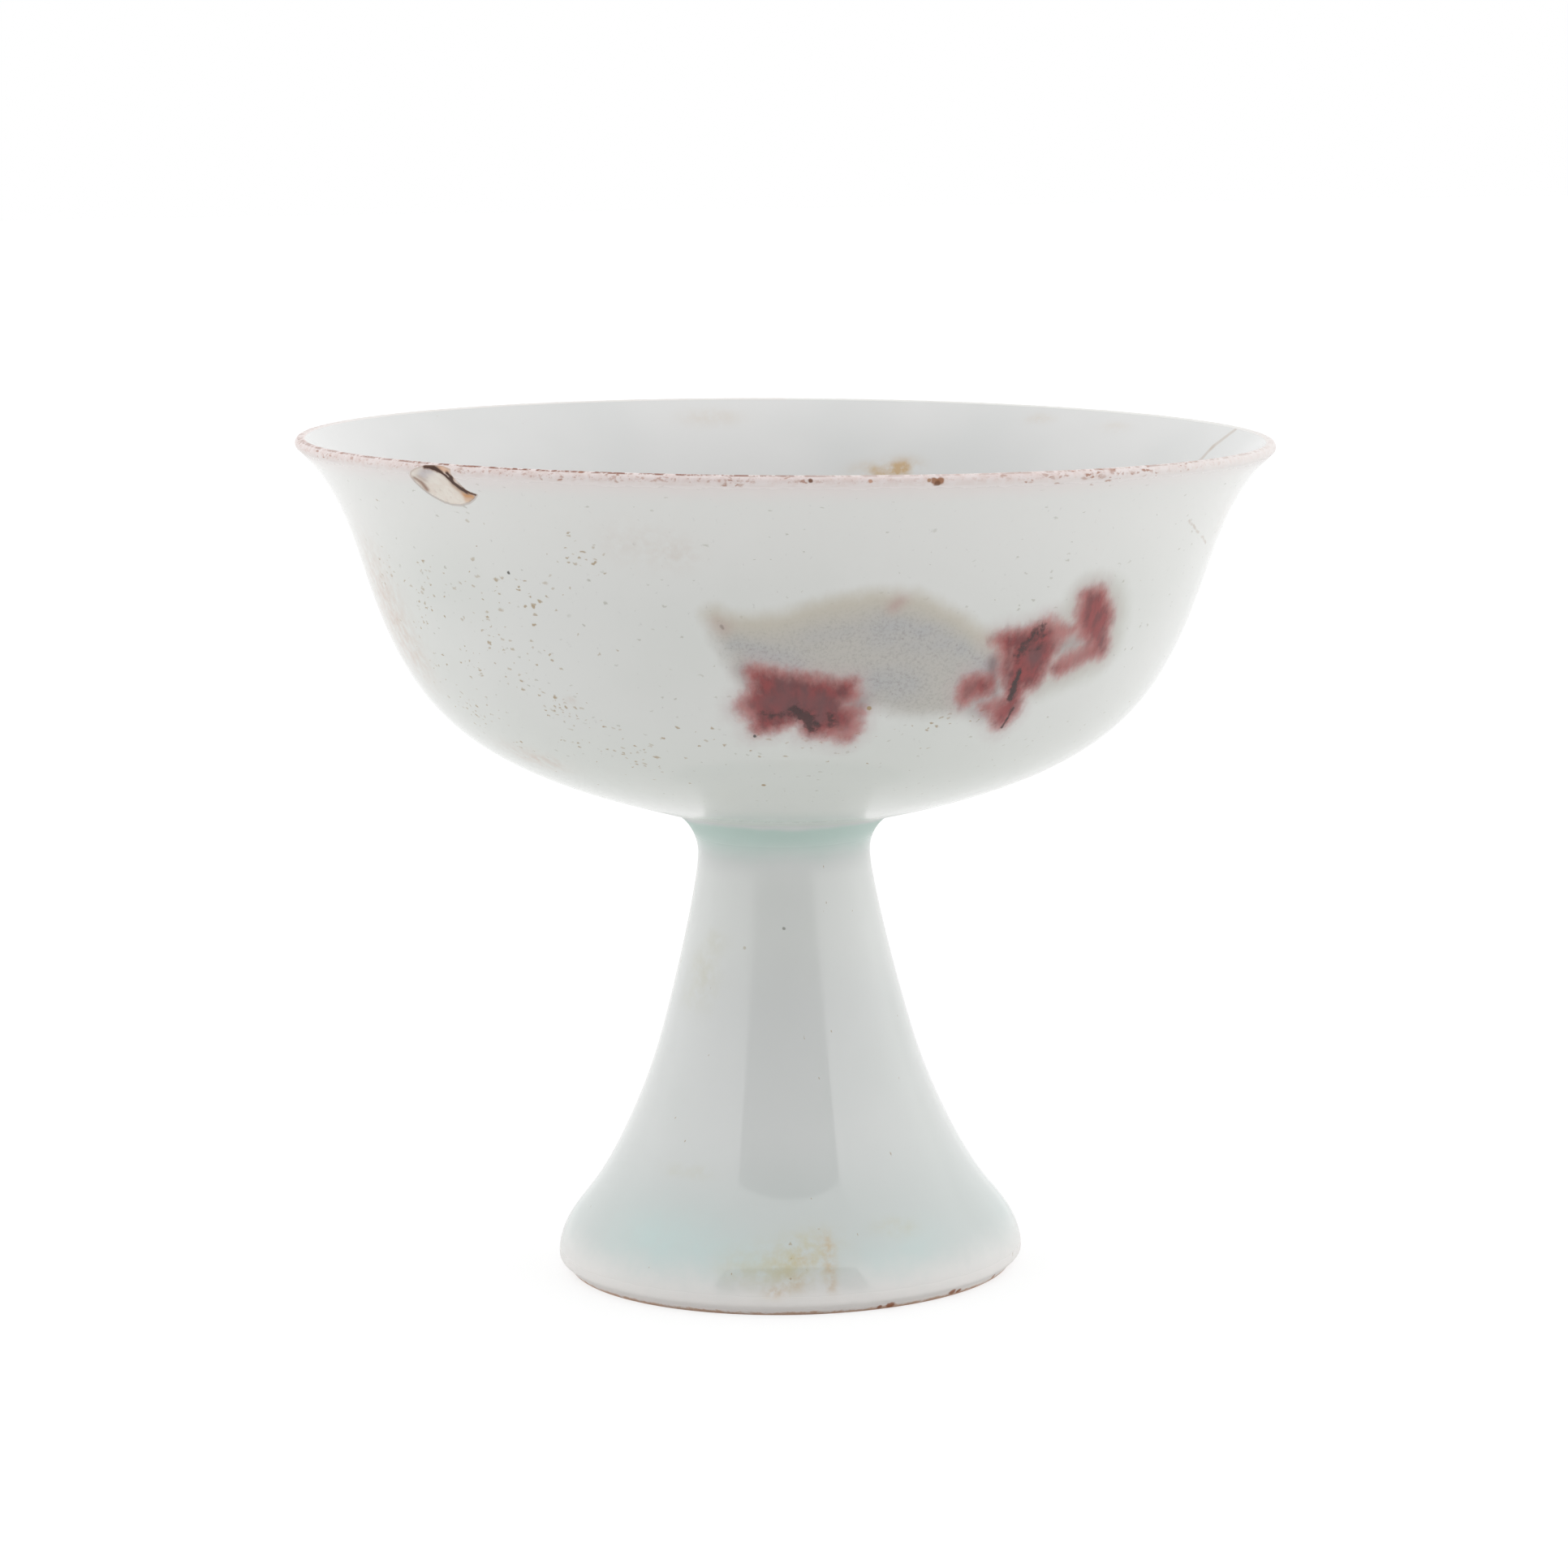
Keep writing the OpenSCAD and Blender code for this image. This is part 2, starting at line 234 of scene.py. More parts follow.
def new_object(name, data):
    """An object in the scene."""
    made = bpy.data.objects.new(name, data)
    bpy.context.scene.collection.objects.link(made)
    return made


def turned_piece(name, outline, material, nodes, fields=(), shown=None, push=None):
    """Surface of revolution: position = (r sin az, -r cos az, z) for each outline row and azimuth column.
    An outline that starts on the axis ends in two poles, and any other one closes on itself. fields are
    named values for each row and column. shown is the number of rows, from the first, that get most of the
    bake map. push moves the rows inwards along their normals, by a depth for each row and column."""
    rows, columns = len(outline), len(azimuths)
    poles = outline[0, 0] == 0
    spots = np.broadcast_to(outline[:, None, :], (rows, columns, 2))
    if push is not None:
        spots = spots - push[:, :, None] * normals(outline)[:, None, :]
    turn = np.radians(azimuths)
    grid = np.stack([spots[..., 0] * np.sin(turn), -spots[..., 0] * np.cos(turn), spots[..., 1]], 2)
    index = np.arange(rows * columns).reshape(rows, columns)
    used = index.ravel()
    if poles:
        index[0], index[-1] = index[0, 0], index[-1, 0]
        used = np.concatenate([index[0, :1], index[1:-1].ravel(), index[-1, :1]])
    order = np.zeros(rows * columns, int)
    order[used] = np.arange(len(used))
    index = order[index]

    # Corners of every face as (row, column) steps: a quad, or a triangle at a pole
    last = rows - 1 if poles else rows
    i, j = (part.ravel() for part in np.meshgrid(np.arange(last), np.arange(columns), indexing="ij"))
    corner_rows = np.stack([i, i, i + 1, i + 1], 1)
    corner_columns = np.stack([j, j + 1, j + 1, j], 1)
    first, final = (i == 0) & poles, (i == last - 1) & poles
    keep = np.ones((len(i), 4), bool)
    keep[first, 1] = False
    keep[final, 3] = False
    corners = index[corner_rows % rows, corner_columns % columns]
    sizes = keep.sum(1)

    mesh = bpy.data.meshes.new(name)
    places = hand_lean(grid.reshape(-1, 3)[used]) * MM
    mesh.vertices.add(len(places))
    mesh.vertices.foreach_set("co", places.astype(np.float32).ravel())
    mesh.loops.add(int(sizes.sum()))
    mesh.loops.foreach_set("vertex_index", corners[keep].astype(np.int32))
    mesh.polygons.add(len(sizes))
    mesh.polygons.foreach_set("loop_start", (np.cumsum(sizes) - sizes).astype(np.int32))
    mesh.update(calc_edges=True)

    # Wall map: millimetres round the wall and along the outline
    length = along(outline if poles else np.concatenate([outline, outline[:1]]))
    degrees = np.concatenate([azimuths, azimuths[:1] + 360])[corner_columns]
    maps = {"wall": (np.radians(degrees) * wall_r, length[corner_rows])}

    # Bake map: two half turns, one above the other, with the rows that don't show squeezed together
    if shown:
        length[shown:] = length[shown - 1] + (length[shown:] - length[shown - 1]) * hidden_share
    half = (azimuths[j] >= 0).astype(float)[:, None]
    inside = 1 - 2 * map_margin
    across = map_margin + inside * (degrees + 180 - 180 * half) / 180
    maps["OFBake"] = across, (half + map_margin + inside * (length / length[-1])[corner_rows]) / 2
    for label, spread in maps.items():
        layer = mesh.uv_layers.new(name=label)
        layer.uv.foreach_set("vector", np.stack(spread, 2)[keep].astype(np.float32).ravel())

    for field, values in dict(fields).items():
        values = np.broadcast_to(values, (rows, columns)).ravel()[used]
        mesh.attributes.new(field, "FLOAT", "POINT").data.foreach_set("value", values.astype(np.float32))
    mesh.shade_smooth()
    mesh.set_sharp_from_angle(angle=math.radians(sharp_angle))
    mesh.materials.append(material)
    mesh.validate()
    piece = new_object(name, mesh)
    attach(piece, "root")
    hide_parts(*nodes)


def points(*numbers):
    """Points from their coordinates in a row."""
    return np.array(numbers, float).reshape(-1, 2)


def smooth_loop(corners, steps=3):
    """Closed line through the corners: each span bends by the corners on both sides of it."""
    a, b, c, d = (np.roll(corners, shift, axis=0)[:, None, :] for shift in (1, 0, -1, -2))
    t = np.linspace(0, 1, steps, endpoint=False)[None, :, None]
    bend, twist = a - 2.5 * b + 2 * c - d / 2, 1.5 * (b - c) + (d - a) / 2
    return (b + t * (c - a) / 2 + t ** 2 * bend + t ** 3 * twist).reshape(-1, 2)


def stroke_distance(spots, line):
    """Distance of each spot from the nearest stretch of an open line."""
    a, step = line[:-1], np.diff(line, axis=0)
    gap = spots[:, None, :] - a
    share = np.clip((gap * step).sum(2) / (step ** 2).sum(1), 0, 1)
    return np.linalg.norm(gap - share[:, :, None] * step, axis=2).min(1)


def loop_distance(spots, loop):
    """Distance of each spot from a closed line, negative inside, where a level ray crosses it an odd
    number of times."""
    closed = np.concatenate([loop, loop[:1]])
    (ax, ay), (bx, by) = closed[:-1].T, closed[1:].T
    x, y = spots[:, :1], spots[:, 1:]
    spans = (ay > y) != (by > y)
    crossing = ax + (y - ay) * (bx - ax) / np.where(by == ay, 1, by - ay)
    inside = (spans & (x < crossing)).sum(1) % 2 == 1
    return np.where(inside, -1, 1) * stroke_distance(spots, closed)


def soft_strokes(spots, strokes):
    """Strongest of some soft strokes at each spot: strength times exp(-(distance / width)^2). A stroke is
    (width, strength, points of its line)."""
    return np.max([strength * np.exp(-(stroke_distance(spots, points(*line)) / width) ** 2)
                   for width, strength, *line in strokes], axis=0)


# Fish outlines in hundredths of the fish's length, side on: nose on the left, middle at the origin
fish_l, fish_z, fish_azimuths = 44.0, 69.6, (20, 136, -111)
fish_step = fish_l / 100
fish_loops = {
    "wash": [points(-49.6, 8.3, -47.6, 9, -44.4, 7.7, -39.7, 7.5, -34.7, 8, -30, 9.7, -25.2, 11.2,
        -20.2, 12.1, -15.1, 12.8, -10, 12.6, -6.1, 12.1, -2.2, 10.7, 1.7, 8.7, 5.9, 6.5, 9.3, 4, 14, 2.6,
        20, 1.5, 24, -1, 22, -6, 17.5, -11, 12, -13.9, 7, -15.6, 1.9, -15.7, -5, -15.2, -11, -13.6,
        -20, -11, -36, -10, -40.5, -7, -42.5, -4.1, -44.8, -1, -46.9, 2.5, -48.7, 6.2)],
    "halo": [points(20, 3, 29.2, 5.3, 33.5, 11.7, 38.6, 13.4, 45.4, 11.7, 49.2, 7.2, 50.4, -0.4, 48.7, -6,
        42.2, -9.8, 33.2, -12, 26.4, -13.2, 20, -8)],
    "red": [points(-39.1, -4.4, -35.7, -4.6, -31.4, -5.5, -26.3, -6.3, -21.1, -7.3, -17.2, -7.3,
        -16.9, -8.8, -16, -10.6, -17.6, -11.7, -18.6, -13, -14.3, -14.2, -14.4, -16.2, -13.8, -17.8,
        -14.8, -20.4, -16, -21.3, -19.4, -20.3, -22, -19.9, -24.2, -19.7, -25.8, -18.8, -26.5, -17.1,
        -28, -16.9, -30.5, -18.2, -33.1, -19.1, -35.6, -18.8, -36.6, -16.5, -39.2, -14.2, -39.9, -12.8,
        -39.3, -10.9, -37.9, -9.1, -38.3, -7),
        points(7.4, -10.4, 8.2, -8, 10.6, -7.4, 13.8, -7.7, 15.2, -9.6, 14.6, -11.6, 11.5, -12,
            8.8, -13.6),
        points(13.3, 1, 16.7, 2.5, 19.9, 2.4, 23.7, 3.4, 27.5, 4.6, 32, 2.4, 36, 2.2, 31, -0.8, 30.2, -3,
            29, -6, 27.8, -9.6, 25.7, -11.1, 24.1, -11.1, 23.8, -13.3, 23.8, -16, 22.3, -18.2,
            20.6, -19.9, 18.5, -19.1, 16.7, -16.5, 13.9, -14.4, 19.4, -12.8, 18.2, -8.9, 16.5, -6.5,
            16.7, -3.6, 14.9, -0.4),
        points(30.4, -6.6, 34, -4.4, 38, -3.2, 41.6, -2.4, 43, -4.4, 38, -6.3, 33, -8.2),
        points(35.3, 9.7, 38.2, 10.7, 41.3, 10.5, 42.6, 8.5, 44.6, 6.2, 45.6, 3.4, 45.1, 0.1, 46, -2.7,
            45.1, -5.2, 42.1, -4.1, 39, -0.7, 36.9, 0.4, 35.4, 3.7, 34.8, 5.9, 35.5, 8.5)]}
fish_back = np.concatenate([points(-50, 8, -45, 8), fish_loops["wash"][0][3:15], points(18, 0)])

# Brushwork inside the fish, in the same hundredths: (width, strength, points of the stroke)
fish_strokes = {
    "dark": [(1.7, 0.95, 26, 3, 24.5, 2, 23.1, 0.4, 21.3, -1.6, 20.7, -3.2),
        (1, 1.1, 21.7, -6.8, 21.3, -9.1, 20.8, -13.3), (1.3, 1.4, -28.8, -13.8, -26.5, -15.1),
        (1.7, 1.2, -26.5, -15.1, -25.2, -16.2, -24, -17.9), (1.2, 1.1, -20.9, -15.3, -20.1, -17.3),
        (1.5, 0.7, 26.6, 0.9, 24.9, -1.7), (1, 0.8, -34.8, -14.3, -32.8, -15.5, -31.2, -15.1)],
    "plum": [(2.4, 0.75, -34, -12, -27, -12, -20, -12.6), (2.4, 0.8, -31.6, -7.5, -30.5, -13.3),
        (1.6, 0.8, -27.5, -9.1, -26.9, -12.5), (1.7, 0.9, -23.6, -11.1, -22.6, -16),
        (1.6, 0.7, -19, -12, -18.5, -13), (1.7, 0.8, 24.2, -3.6, 25.4, -4),
        (1.3, 0.5, 18.8, -5.5, 19, -10), (1.5, 0.5, 44, 0, 44.5, -3.5)],
    "faded": [(2.2, 0.45, 8, -12, 10, -10), (1.7, 0.9, 13.8, 0.5, 14.4, -6),
        (2.2, 0.8, 35, -5.2, 40, -3.6), (2.1, 1, 30.6, 1, 36, 0.8), (1.8, 1, 27, 4.5, 29.5, 3.4),
        (1.8, 0.7, 35.4, 8.4, 35, 4.6), (0.7, 0.6, 18.6, -1.5, 19.2, -6), (0.7, 0.6, 16.4, -4, 17, -8),
        (2.2, 0.7, 17, -14.5, 15, -14), (1.6, 0.5, 9.2, -13, 11, -13.2),
        (1.9, 0.8, -39.8, -12, -38.6, -15), (2, 0.85, -14.6, -14, -14.6, -19, -18.5, -19.8),
        (1.7, 0.7, -15.6, -10, -17, -12.4)],
    "mauve": [(1.7, 0.9, 14.4, -4, 15, -9), (2.6, 0.45, 32, -2, 37, -0.6),
        (1.9, 0.85, 39.6, -2.4, 42.6, -3.4), (2, 0.4, 12, -15.3, 15.4, -16.6),
        (2.2, 0.6, -19.4, -12.5, -15, -12.6), (1.6, 0.3, -41, -4.4, -39, -7),
        (1.8, 0.6, 15.6, -10, 17, -13), (1.6, 0.45, 12, -13, 16, -14.2)],
    "pink": [(1.7, 0.75, -11, 9.3, -9.4, 11), (1.8, 0.5, -47, 5.6, -45.4, 4.6)],
    "blue": [(4.5, 0.9, -13, 4.8, -7, 3.5, 2, 2), (4, 0.8, -12, -7.5, -5, -8.5),
        (2.4, 0.9, -42.5, 0.9, -35, -1.8, -30, -3), (5, 0.9, 7, 0, 14, -4.5), (2, 0.4, -28, 3, -20, 4)]}

# Fine strokes, with the width in millimetres
fish_fine_strokes = [(0.4, 0.9, 21.6, -7.2, 21.2, -9.2), (0.5, 0.95, 21.2, -9.2, 20.7, -13.2),
    (0.26, 0.8, 22.5, -15.6, 21.6, -17.8), (0.26, 0.9, 21.6, -17.8, 20.8, -20),
    (0.3, 0.35, -45.9, 4.8, -45.6, 4.5)]

# A fish counts within near_turn or beside_turn radians and near_up hundredths of its middle. Elsewhere its
# distances are far_off millimetres
near_turn, beside_turn, near_up, far_off = 0.9, 1.05, 45, 20.0


def fish_fields(r, z):
    """Distances in millimetres from the fish's grey wash, its halo and its red fins and tail, each negative
    inside, the depth below its back, its soft strokes and the place across and up from its middle, at each
    row and column. The nearest fish counts."""
    shape = np.broadcast(r, azimuths).shape
    distances = (*fish_loops, "below_back", "fish_across", "fish_up")
    fields = {name: np.full(shape, far_off) for name in distances}
    fields.update({name: np.zeros(shape) for name in fish_strokes})
    for middle in fish_azimuths:
        turn = np.radians((azimuths - middle + 180) % 360 - 180)
        spots = np.stack(np.broadcast_arrays(r * np.sin(turn), z - fish_z), 2) / fish_step
        near = (np.abs(np.broadcast_to(turn, shape)) < near_turn) & (np.abs(spots[..., 1]) < near_up)
        beside = np.broadcast_to(np.abs(turn) < beside_turn, shape)
        chosen = spots[near]
        for name, loops in fish_loops.items():
            gaps = [loop_distance(chosen, smooth_loop(loop)) for loop in loops]
            fields[name][near] = np.min(gaps, axis=0) * fish_step
        for name, strokes in fish_strokes.items():
            fields[name][near] = soft_strokes(chosen, strokes)
        back = np.interp(chosen[:, 0], *fish_back.T)
        fields["below_back"][near] = (back - chosen[:, 1]) * fish_step
        fields["fish_across"][beside] = spots[beside][:, 0] * fish_step
        fields["fish_up"][near] = chosen[:, 1] * fish_step
    return fields


def blots(r, z, marks):
    """Sum of soft blots, each exp(-(across / width)^2 - (up / height)^2) times its strength. A mark is
    (azimuth, height, width, tall, strength), and across is measured along the wall."""
    total = np.zeros(np.broadcast(r, azimuths).shape)
    for azimuth, height, width, tall, strength in marks:
        across = np.radians((azimuths - azimuth + 180) % 360 - 180) * r
        total += strength * np.exp(-(across / width) ** 2 - ((z - height) / tall) ** 2)
    return total


# Kiln specks and stains: (azimuth, height, width, tall, strength)
bowl_specks = [(*spot, 1.7, 0.9, 0.55) for spot in ((-64, 75.6), (-68, 73.2), (-68, 68.7), (-53, 74.9),
    (-54, 72.5), (-57, 73.4), (-58, 70.8), (-59, 69.4), (-46, 73.9), (-44, 71.2), (-43, 69.3),
    (-40, 68.9), (-38, 73.3), (-38, 74.7), (-34, 72.9), (-31, 74.9), (-28, 78.3), (-24, 79.2),
    (-25, 77.5), (-35, 67.8), (-39, 65), (-37, 63.5), (-32, 63.4), (-35, 62.4), (-35, 59.5), (-28, 61),
    (-49, 66.4), (-60, 64.7), (-56, 61.5), (-55, 60), (-48, 57.8), (-48, 61.1))]
bowl_specks += [(-48, 68.6, 16, 9, 0.05), (-24, 58.1, 5, 1.8, 0.25), (8, 60.1, 7, 1.4, 0.2),
    (24, 62.1, 3, 0.9, 0.4), (-8, 60.6, 6, 2, 0.1), (92, 67.6, 9, 6, 0.2), (170, 61.6, 12, 5, 0.25)]
bowl_stains = [(-71, 70.6, 5, 6, 1.2), (-66, 65.6, 3, 3, 0.5), (-47, 56, 3, 1, 0.9),
    (-53, 56.6, 3, 1.2, 0.5), (-18, 79.6, 4, 2, 0.25), (-13, 78.8, 2, 1.4, 0.3), (-32, 63.4, 0.5, 0.4, 1),
    (74, 79.6, 3, 3, 0.3), (100, 56.6, 5, 2, 0.5)]
lining_stains = [(162.2, 79.5, 1.6, 0.9, 1.4), (165.6, 79.1, 2.6, 0.8, 1.1), (144, 85.3, 1.5, 0.5, 0.28),
    (-170, 84.6, 3, 0.8, 0.25), (131, 85, 2, 0.5, 0.2), (20, 69.6, 5, 2, 0.5)]
stem_stains = [(10, 6.9, 0.7, 0.9, 0.9), (9.8, 4.9, 0.6, 1.2, 0.9), (9.8, 3.1, 0.6, 0.8, 0.7),
    (-3.8, 2.6, 0.9, 0.5, 1.1), (1, 3.4, 1.1, 0.8, 0.8), (3, 5.6, 1.2, 0.6, 0.5), (150, 4.6, 1.5, 1, 0.7)]
stem_haze = [(2.2, 5.3, 3.2, 1.9, 0.9), (-5.5, 4.6, 2.6, 1.8, 0.55), (5.5, 6.7, 2.6, 1.4, 0.7),
    (28.5, 7.9, 1.8, 0.7, 0.4), (33, 7.4, 1.6, 0.7, 0.35), (-14, 4.9, 2, 1.5, 0.4),
    (-55, 32.6, 2, 1.5, 0.3), (-46, 31.1, 1.7, 2.4, 0.35), (-57, 29.4, 2, 1.2, 0.25),
    (-45, 35.3, 1.6, 1.2, 0.3), (-41, 12.9, 2, 0.6, 0.25), (-31, 12.9, 2, 0.6, 0.25),
    (152, 4.6, 4, 2, 0.6)]
foot_pools = [(-41, 6.4, 6.5, 3.2, 0.9), (-24, 6.2, 5.5, 3, 0.5), (30.5, 4.2, 3.5, 2, 0.35),
    (37.5, 6, 4.5, 2.2, 0.45), (21, 4.9, 3.5, 2, 0.4), (-10, 5, 4, 2, 0.5), (110, 5.1, 12, 2.4, 0.8),
    (175, 4.6, 12, 2.2, 0.7), (-120, 5.1, 12, 2.4, 0.8)]
lip_specks = [(azimuth, 86.1, *rest) for azimuth, *rest in ((26.5, 1.5, 0.6, 0.6), (30.5, 1.5, 0.6, 0.6),
    (37, 2.6, 0.7, 1), (43, 2, 0.6, 0.7), (50, 2, 0.6, 0.5), (-24, 1, 0.6, 0.4), (-18.5, 1, 0.6, 0.4),
    (-13, 1, 0.6, 0.4), (-6, 1, 0.6, 0.5), (-70, 9, 0.6, 0.2), (-20, 40, 0.6, 0.1))]

# The flake lost from the lip, on the lip's outer face: millimetres across from its azimuth and down from
# the top of the lip
flake_azimuth, flake_r = -42.5, 49.0
flake_upper = points(-3.7, 1.6, -3.4, 1.2, -3, 0.85, -2.35, 0.5, -0.9, 0.05, 0.6, -0.05, 1.5, -0.02,
    2.55, 0.25, 2.6, 1, 2.6, 1.9, 3, 2.9, 3.4, 3.2, 4.2, 3.5)
flake_lower = points(4.2, 3.5, 3.35, 4.2, 2.4, 4.7, 1.1, 5.05, 0, 5.05, -1.1, 4.85, -1.7, 4.55,
    -2.35, 4.2, -3, 3.7, -3.4, 3.15, -3.7, 2.45, -3.7, 1.6)
# Strokes in the scar. The first set is the crevice along the upper step: painted shade, with brown dirt in
# it.
flake_strokes = {
    "flake_crevice_shade": [(0.27, 1, -0.85, 0.14, -0.2, 0.14, 0.65, 0.34, 1.25, 0.68),
        (0.26, 1, 1.25, 0.68, 1.5, 1.1, 1.55, 1.6, 1.95, 1.65, 2.3, 1.15, 2.05, 0.8),
        (0.4, 1, 1.75, 1.7, 1.9, 2.2, 2.3, 2.75, 2.85, 3.15), (0.2, 0.8, 3.2, 3.3, 4.05, 3.55)],
    "flake_peach": [(0.35, 0.9, 1, 0.15, 1.5, 0.3, 2.15, 0.5), (0.2, 0.5, 2.4, 0.9, 2.45, 1.7)],
    "flake_strip": [(0.35, 0.45, 1.1, 1.2, 1.35, 2.2), (0.5, 0.9, 1.6, 2.7, 2.2, 3.35, 2.9, 3.5)],
    "flake_ochre": [(0.42, 1, 2.3, 3.85, 3.3, 3.75), (0.35, 0.6, 2.2, 4.3, 2.7, 4.3)],
    "flake_grey": [(0.6, 0.8, -1.9, 1.5, -1.2, 0.9, -0.3, 0.6)],
    "flake_stain": [(0.3, 0.9, -3.3, 1.9, -2.95, 2.5, -2.75, 3.4), (0.4, 0.4, -2.6, 1.7, -2.3, 2.2)]}

# Its depth, how steeply it sinks from its lower and upper edges, the width of its edge, how far the glaze
# is cleared above the scar, and how far across and down it is looked for
flake_depth, flake_slope, flake_wall, flake_soft, flake_clear = 0.5, 0.2, 0.12, 0.16, 0.06
flake_across, flake_down = 7, 9


def flake_fields(down):
    """The flake's depth, and named fields at each row and column: distance from its edge, negative inside,
    and its stains and the crevice's dark line, which is painted shade of the step with brown dirt in it.
    The scar sinks in from its lower edge and from its upper one."""
    spots = np.stack(np.broadcast_arrays(np.radians(azimuths - flake_azimuth) * flake_r, down[:, None]), 2)
    near = (np.abs(spots) < (flake_across, flake_down)).all(2)
    chosen = spots[near]
    fields = {name: np.zeros(near.shape) for name in flake_strokes}
    fields["flake"] = np.full(near.shape, far_off)
    fields["flake"][near] = loop_distance(chosen, np.concatenate([flake_upper, flake_lower[1:-1]]))
    for name, strokes in flake_strokes.items():
        fields[name][near] = soft_strokes(chosen, strokes)
    from_below = flake_slope * stroke_distance(chosen, flake_lower)
    from_above = flake_wall * stroke_distance(chosen, flake_upper)
    depth = np.zeros(near.shape)
    depth[near] = np.minimum(flake_depth, np.minimum(from_below, from_above)) * (fields["flake"][near] < 0)
    return depth, fields


def tint(code):
    """Linear colour of a hex code: each sRGB channel c is ((c + 0.055) / 1.055) ^ 2.4 above the toe."""
    srgb = np.array([int(code[k:k + 2], 16) for k in (1, 3, 5)]) / 255
    linear = np.where(srgb > 0.04045, ((srgb + 0.055) / 1.055) ** 2.4, srgb / 12.92)
    return (*(float(c) for c in linear), 1.0)


class Signal:
    """A node's output. Sums, products and eased steps of it make new nodes."""

    def __init__(self, nodes, socket):
        self.nodes, self.socket = nodes, socket

    def __add__(self, other):
        return self.nodes.math("ADD", self, other)

    def __sub__(self, other):
        return self.nodes.math("SUBTRACT", self, other)

    def __mul__(self, other):
        return self.nodes.math("MULTIPLY", self, other)

    def __truediv__(self, other):
        return self.nodes.math("DIVIDE", self, other)

    def ease(self, low, high, start=0.0, end=1.0):
        """start up to low, end from high on, and a smooth step between them."""
        return self.nodes.add("ShaderNodeMapRange", {"interpolation_type": "SMOOTHSTEP"}, Value=self,
                              From_Min=low, From_Max=high, To_Min=start, To_Max=end)["Result"]


class Nodes:
    """A node tree with short calls. Each input takes a plain value or the signal that feeds it."""

    def __init__(self, tree, owner=None):
        self.tree, self.owner = tree, owner

    def feed(self, socket, value):
        if isinstance(value, Signal):
            self.tree.links.new(value.socket, socket)
        else:
            socket.default_value = value

    def feed_all(self, node, inputs):
        """Feeds inputs by their names, in which a space is written as an underscore."""
        for key, value in inputs.items():
            self.feed(node.inputs[key.replace("_", " ")], value)
        return node

    def make(self, kind, settings=(), **inputs):
        made = self.tree.nodes.new(kind)
        for key, value in dict(settings).items():
            setattr(made, key, value)
        return self.feed_all(made, inputs)

    def add(self, kind, settings=(), **inputs):
        """A new node's outputs as signals, by their names."""
        made = self.make(kind, settings, **inputs)
        return {socket.name: Signal(self, socket) for socket in made.outputs}

    def math(self, operation, *values, kind="ShaderNodeMath", output="Value"):
        made = self.make(kind, {"operation": operation})
        for socket, value in zip(made.inputs, values):
            self.feed(socket, value)
        return Signal(self, made.outputs[output])

    def vector(self, operation, *values, output="Vector"):
        return self.math(operation, *values, kind="ShaderNodeVectorMath", output=output)

    def stack(self, colour, *layers):
        """A colour with layers over it. A layer is (colour, mask) or (colour, mask, strength of the mask).
        Colours are hex codes or signals."""
        for over, mask, *strength in layers:
            made = self.make("ShaderNodeMix", {"data_type": "RGBA"},
                             Factor=mask * strength[0] if strength else mask)
            for socket, value in zip(made.inputs[6:8], (colour, over)):
                self.feed(socket, tint(value) if isinstance(value, str) else value)
            colour = Signal(self, made.outputs[2])
        return colour

    def field(self, name):
        return self.add("ShaderNodeAttribute", {"attribute_name": name})["Fac"]

    def wall(self):
        """Place on the wall map, in millimetres round the wall and along the outline."""
        return self.add("ShaderNodeUVMap", {"uv_map": "wall"})["UV"]

    def place(self, stretch=(1, 1, 1)):
        """Object coordinates in millimetres, each axis times its stretch."""
        spot = self.add("ShaderNodeTexCoord")["Object"]
        return self.vector("MULTIPLY", spot, tuple(s / MM for s in stretch))

    def noise(self, scale, detail=2.0, stretch=(1, 1, 1), offset=0.0, rough=0.5):
        """Noise of about scale waves to a millimetre. The offset tells one noise from another."""
        spot = self.vector("ADD", self.place(stretch), (offset,) * 3)
        made = self.add("ShaderNodeTexNoise", {}, Vector=spot, Scale=scale, Detail=detail, Roughness=rough)
        return made["Fac"]

    def bent(self, place, scale, reach, dimensions="3D"):
        """The place, moved by noise through up to half of reach each way."""
        moved = self.add("ShaderNodeTexNoise", {"noise_dimensions": dimensions}, Vector=place, Scale=scale,
                         Detail=2.0)["Color"]
        moved = self.vector("MULTIPLY", self.vector("SUBTRACT", moved, (0.5,) * 3), (reach,) * 3)
        return self.vector("ADD", place, moved)

    def group(self, name, **inputs):
        return self.add("ShaderNodeGroup", {"node_tree": bpy.data.node_groups[name]}, **inputs)


def new_group(name, vectors=(), floats=(), outputs=("Mask",)):
    """A shader group with the named sockets: its nodes, its inputs as signals and its output sockets."""
    tree = bpy.data.node_groups.new(name, "ShaderNodeTree")
    sides = (vectors, "INPUT", "Vector"), (floats, "INPUT", "Float"), (outputs, "OUTPUT", "Float")
    for labels, way, kind in sides:
        for label in labels:
            tree.interface.new_socket(label, in_out=way, socket_type=f"NodeSocket{kind}")
    nodes = Nodes(tree)
    return nodes, nodes.add("NodeGroupInput"), nodes.make("NodeGroupOutput").inputs


def make_soft_field():
    """Mask of a field that has run: 1 inside, fading over Softness where Distance plus noise crosses 0."""
    nodes, given, out = new_group("soft_field", (), ("Distance", "Ragged", "Grain", "Softness"))
    wander = nodes.noise(given["Grain"], 4.0, stretch=(1, 1, 0.6), rough=0.62) - 0.5
    edge = wander * given["Ragged"] + given["Distance"]
    nodes.feed(out["Mask"], (edge / given["Softness"]).ease(0.5, -0.5))


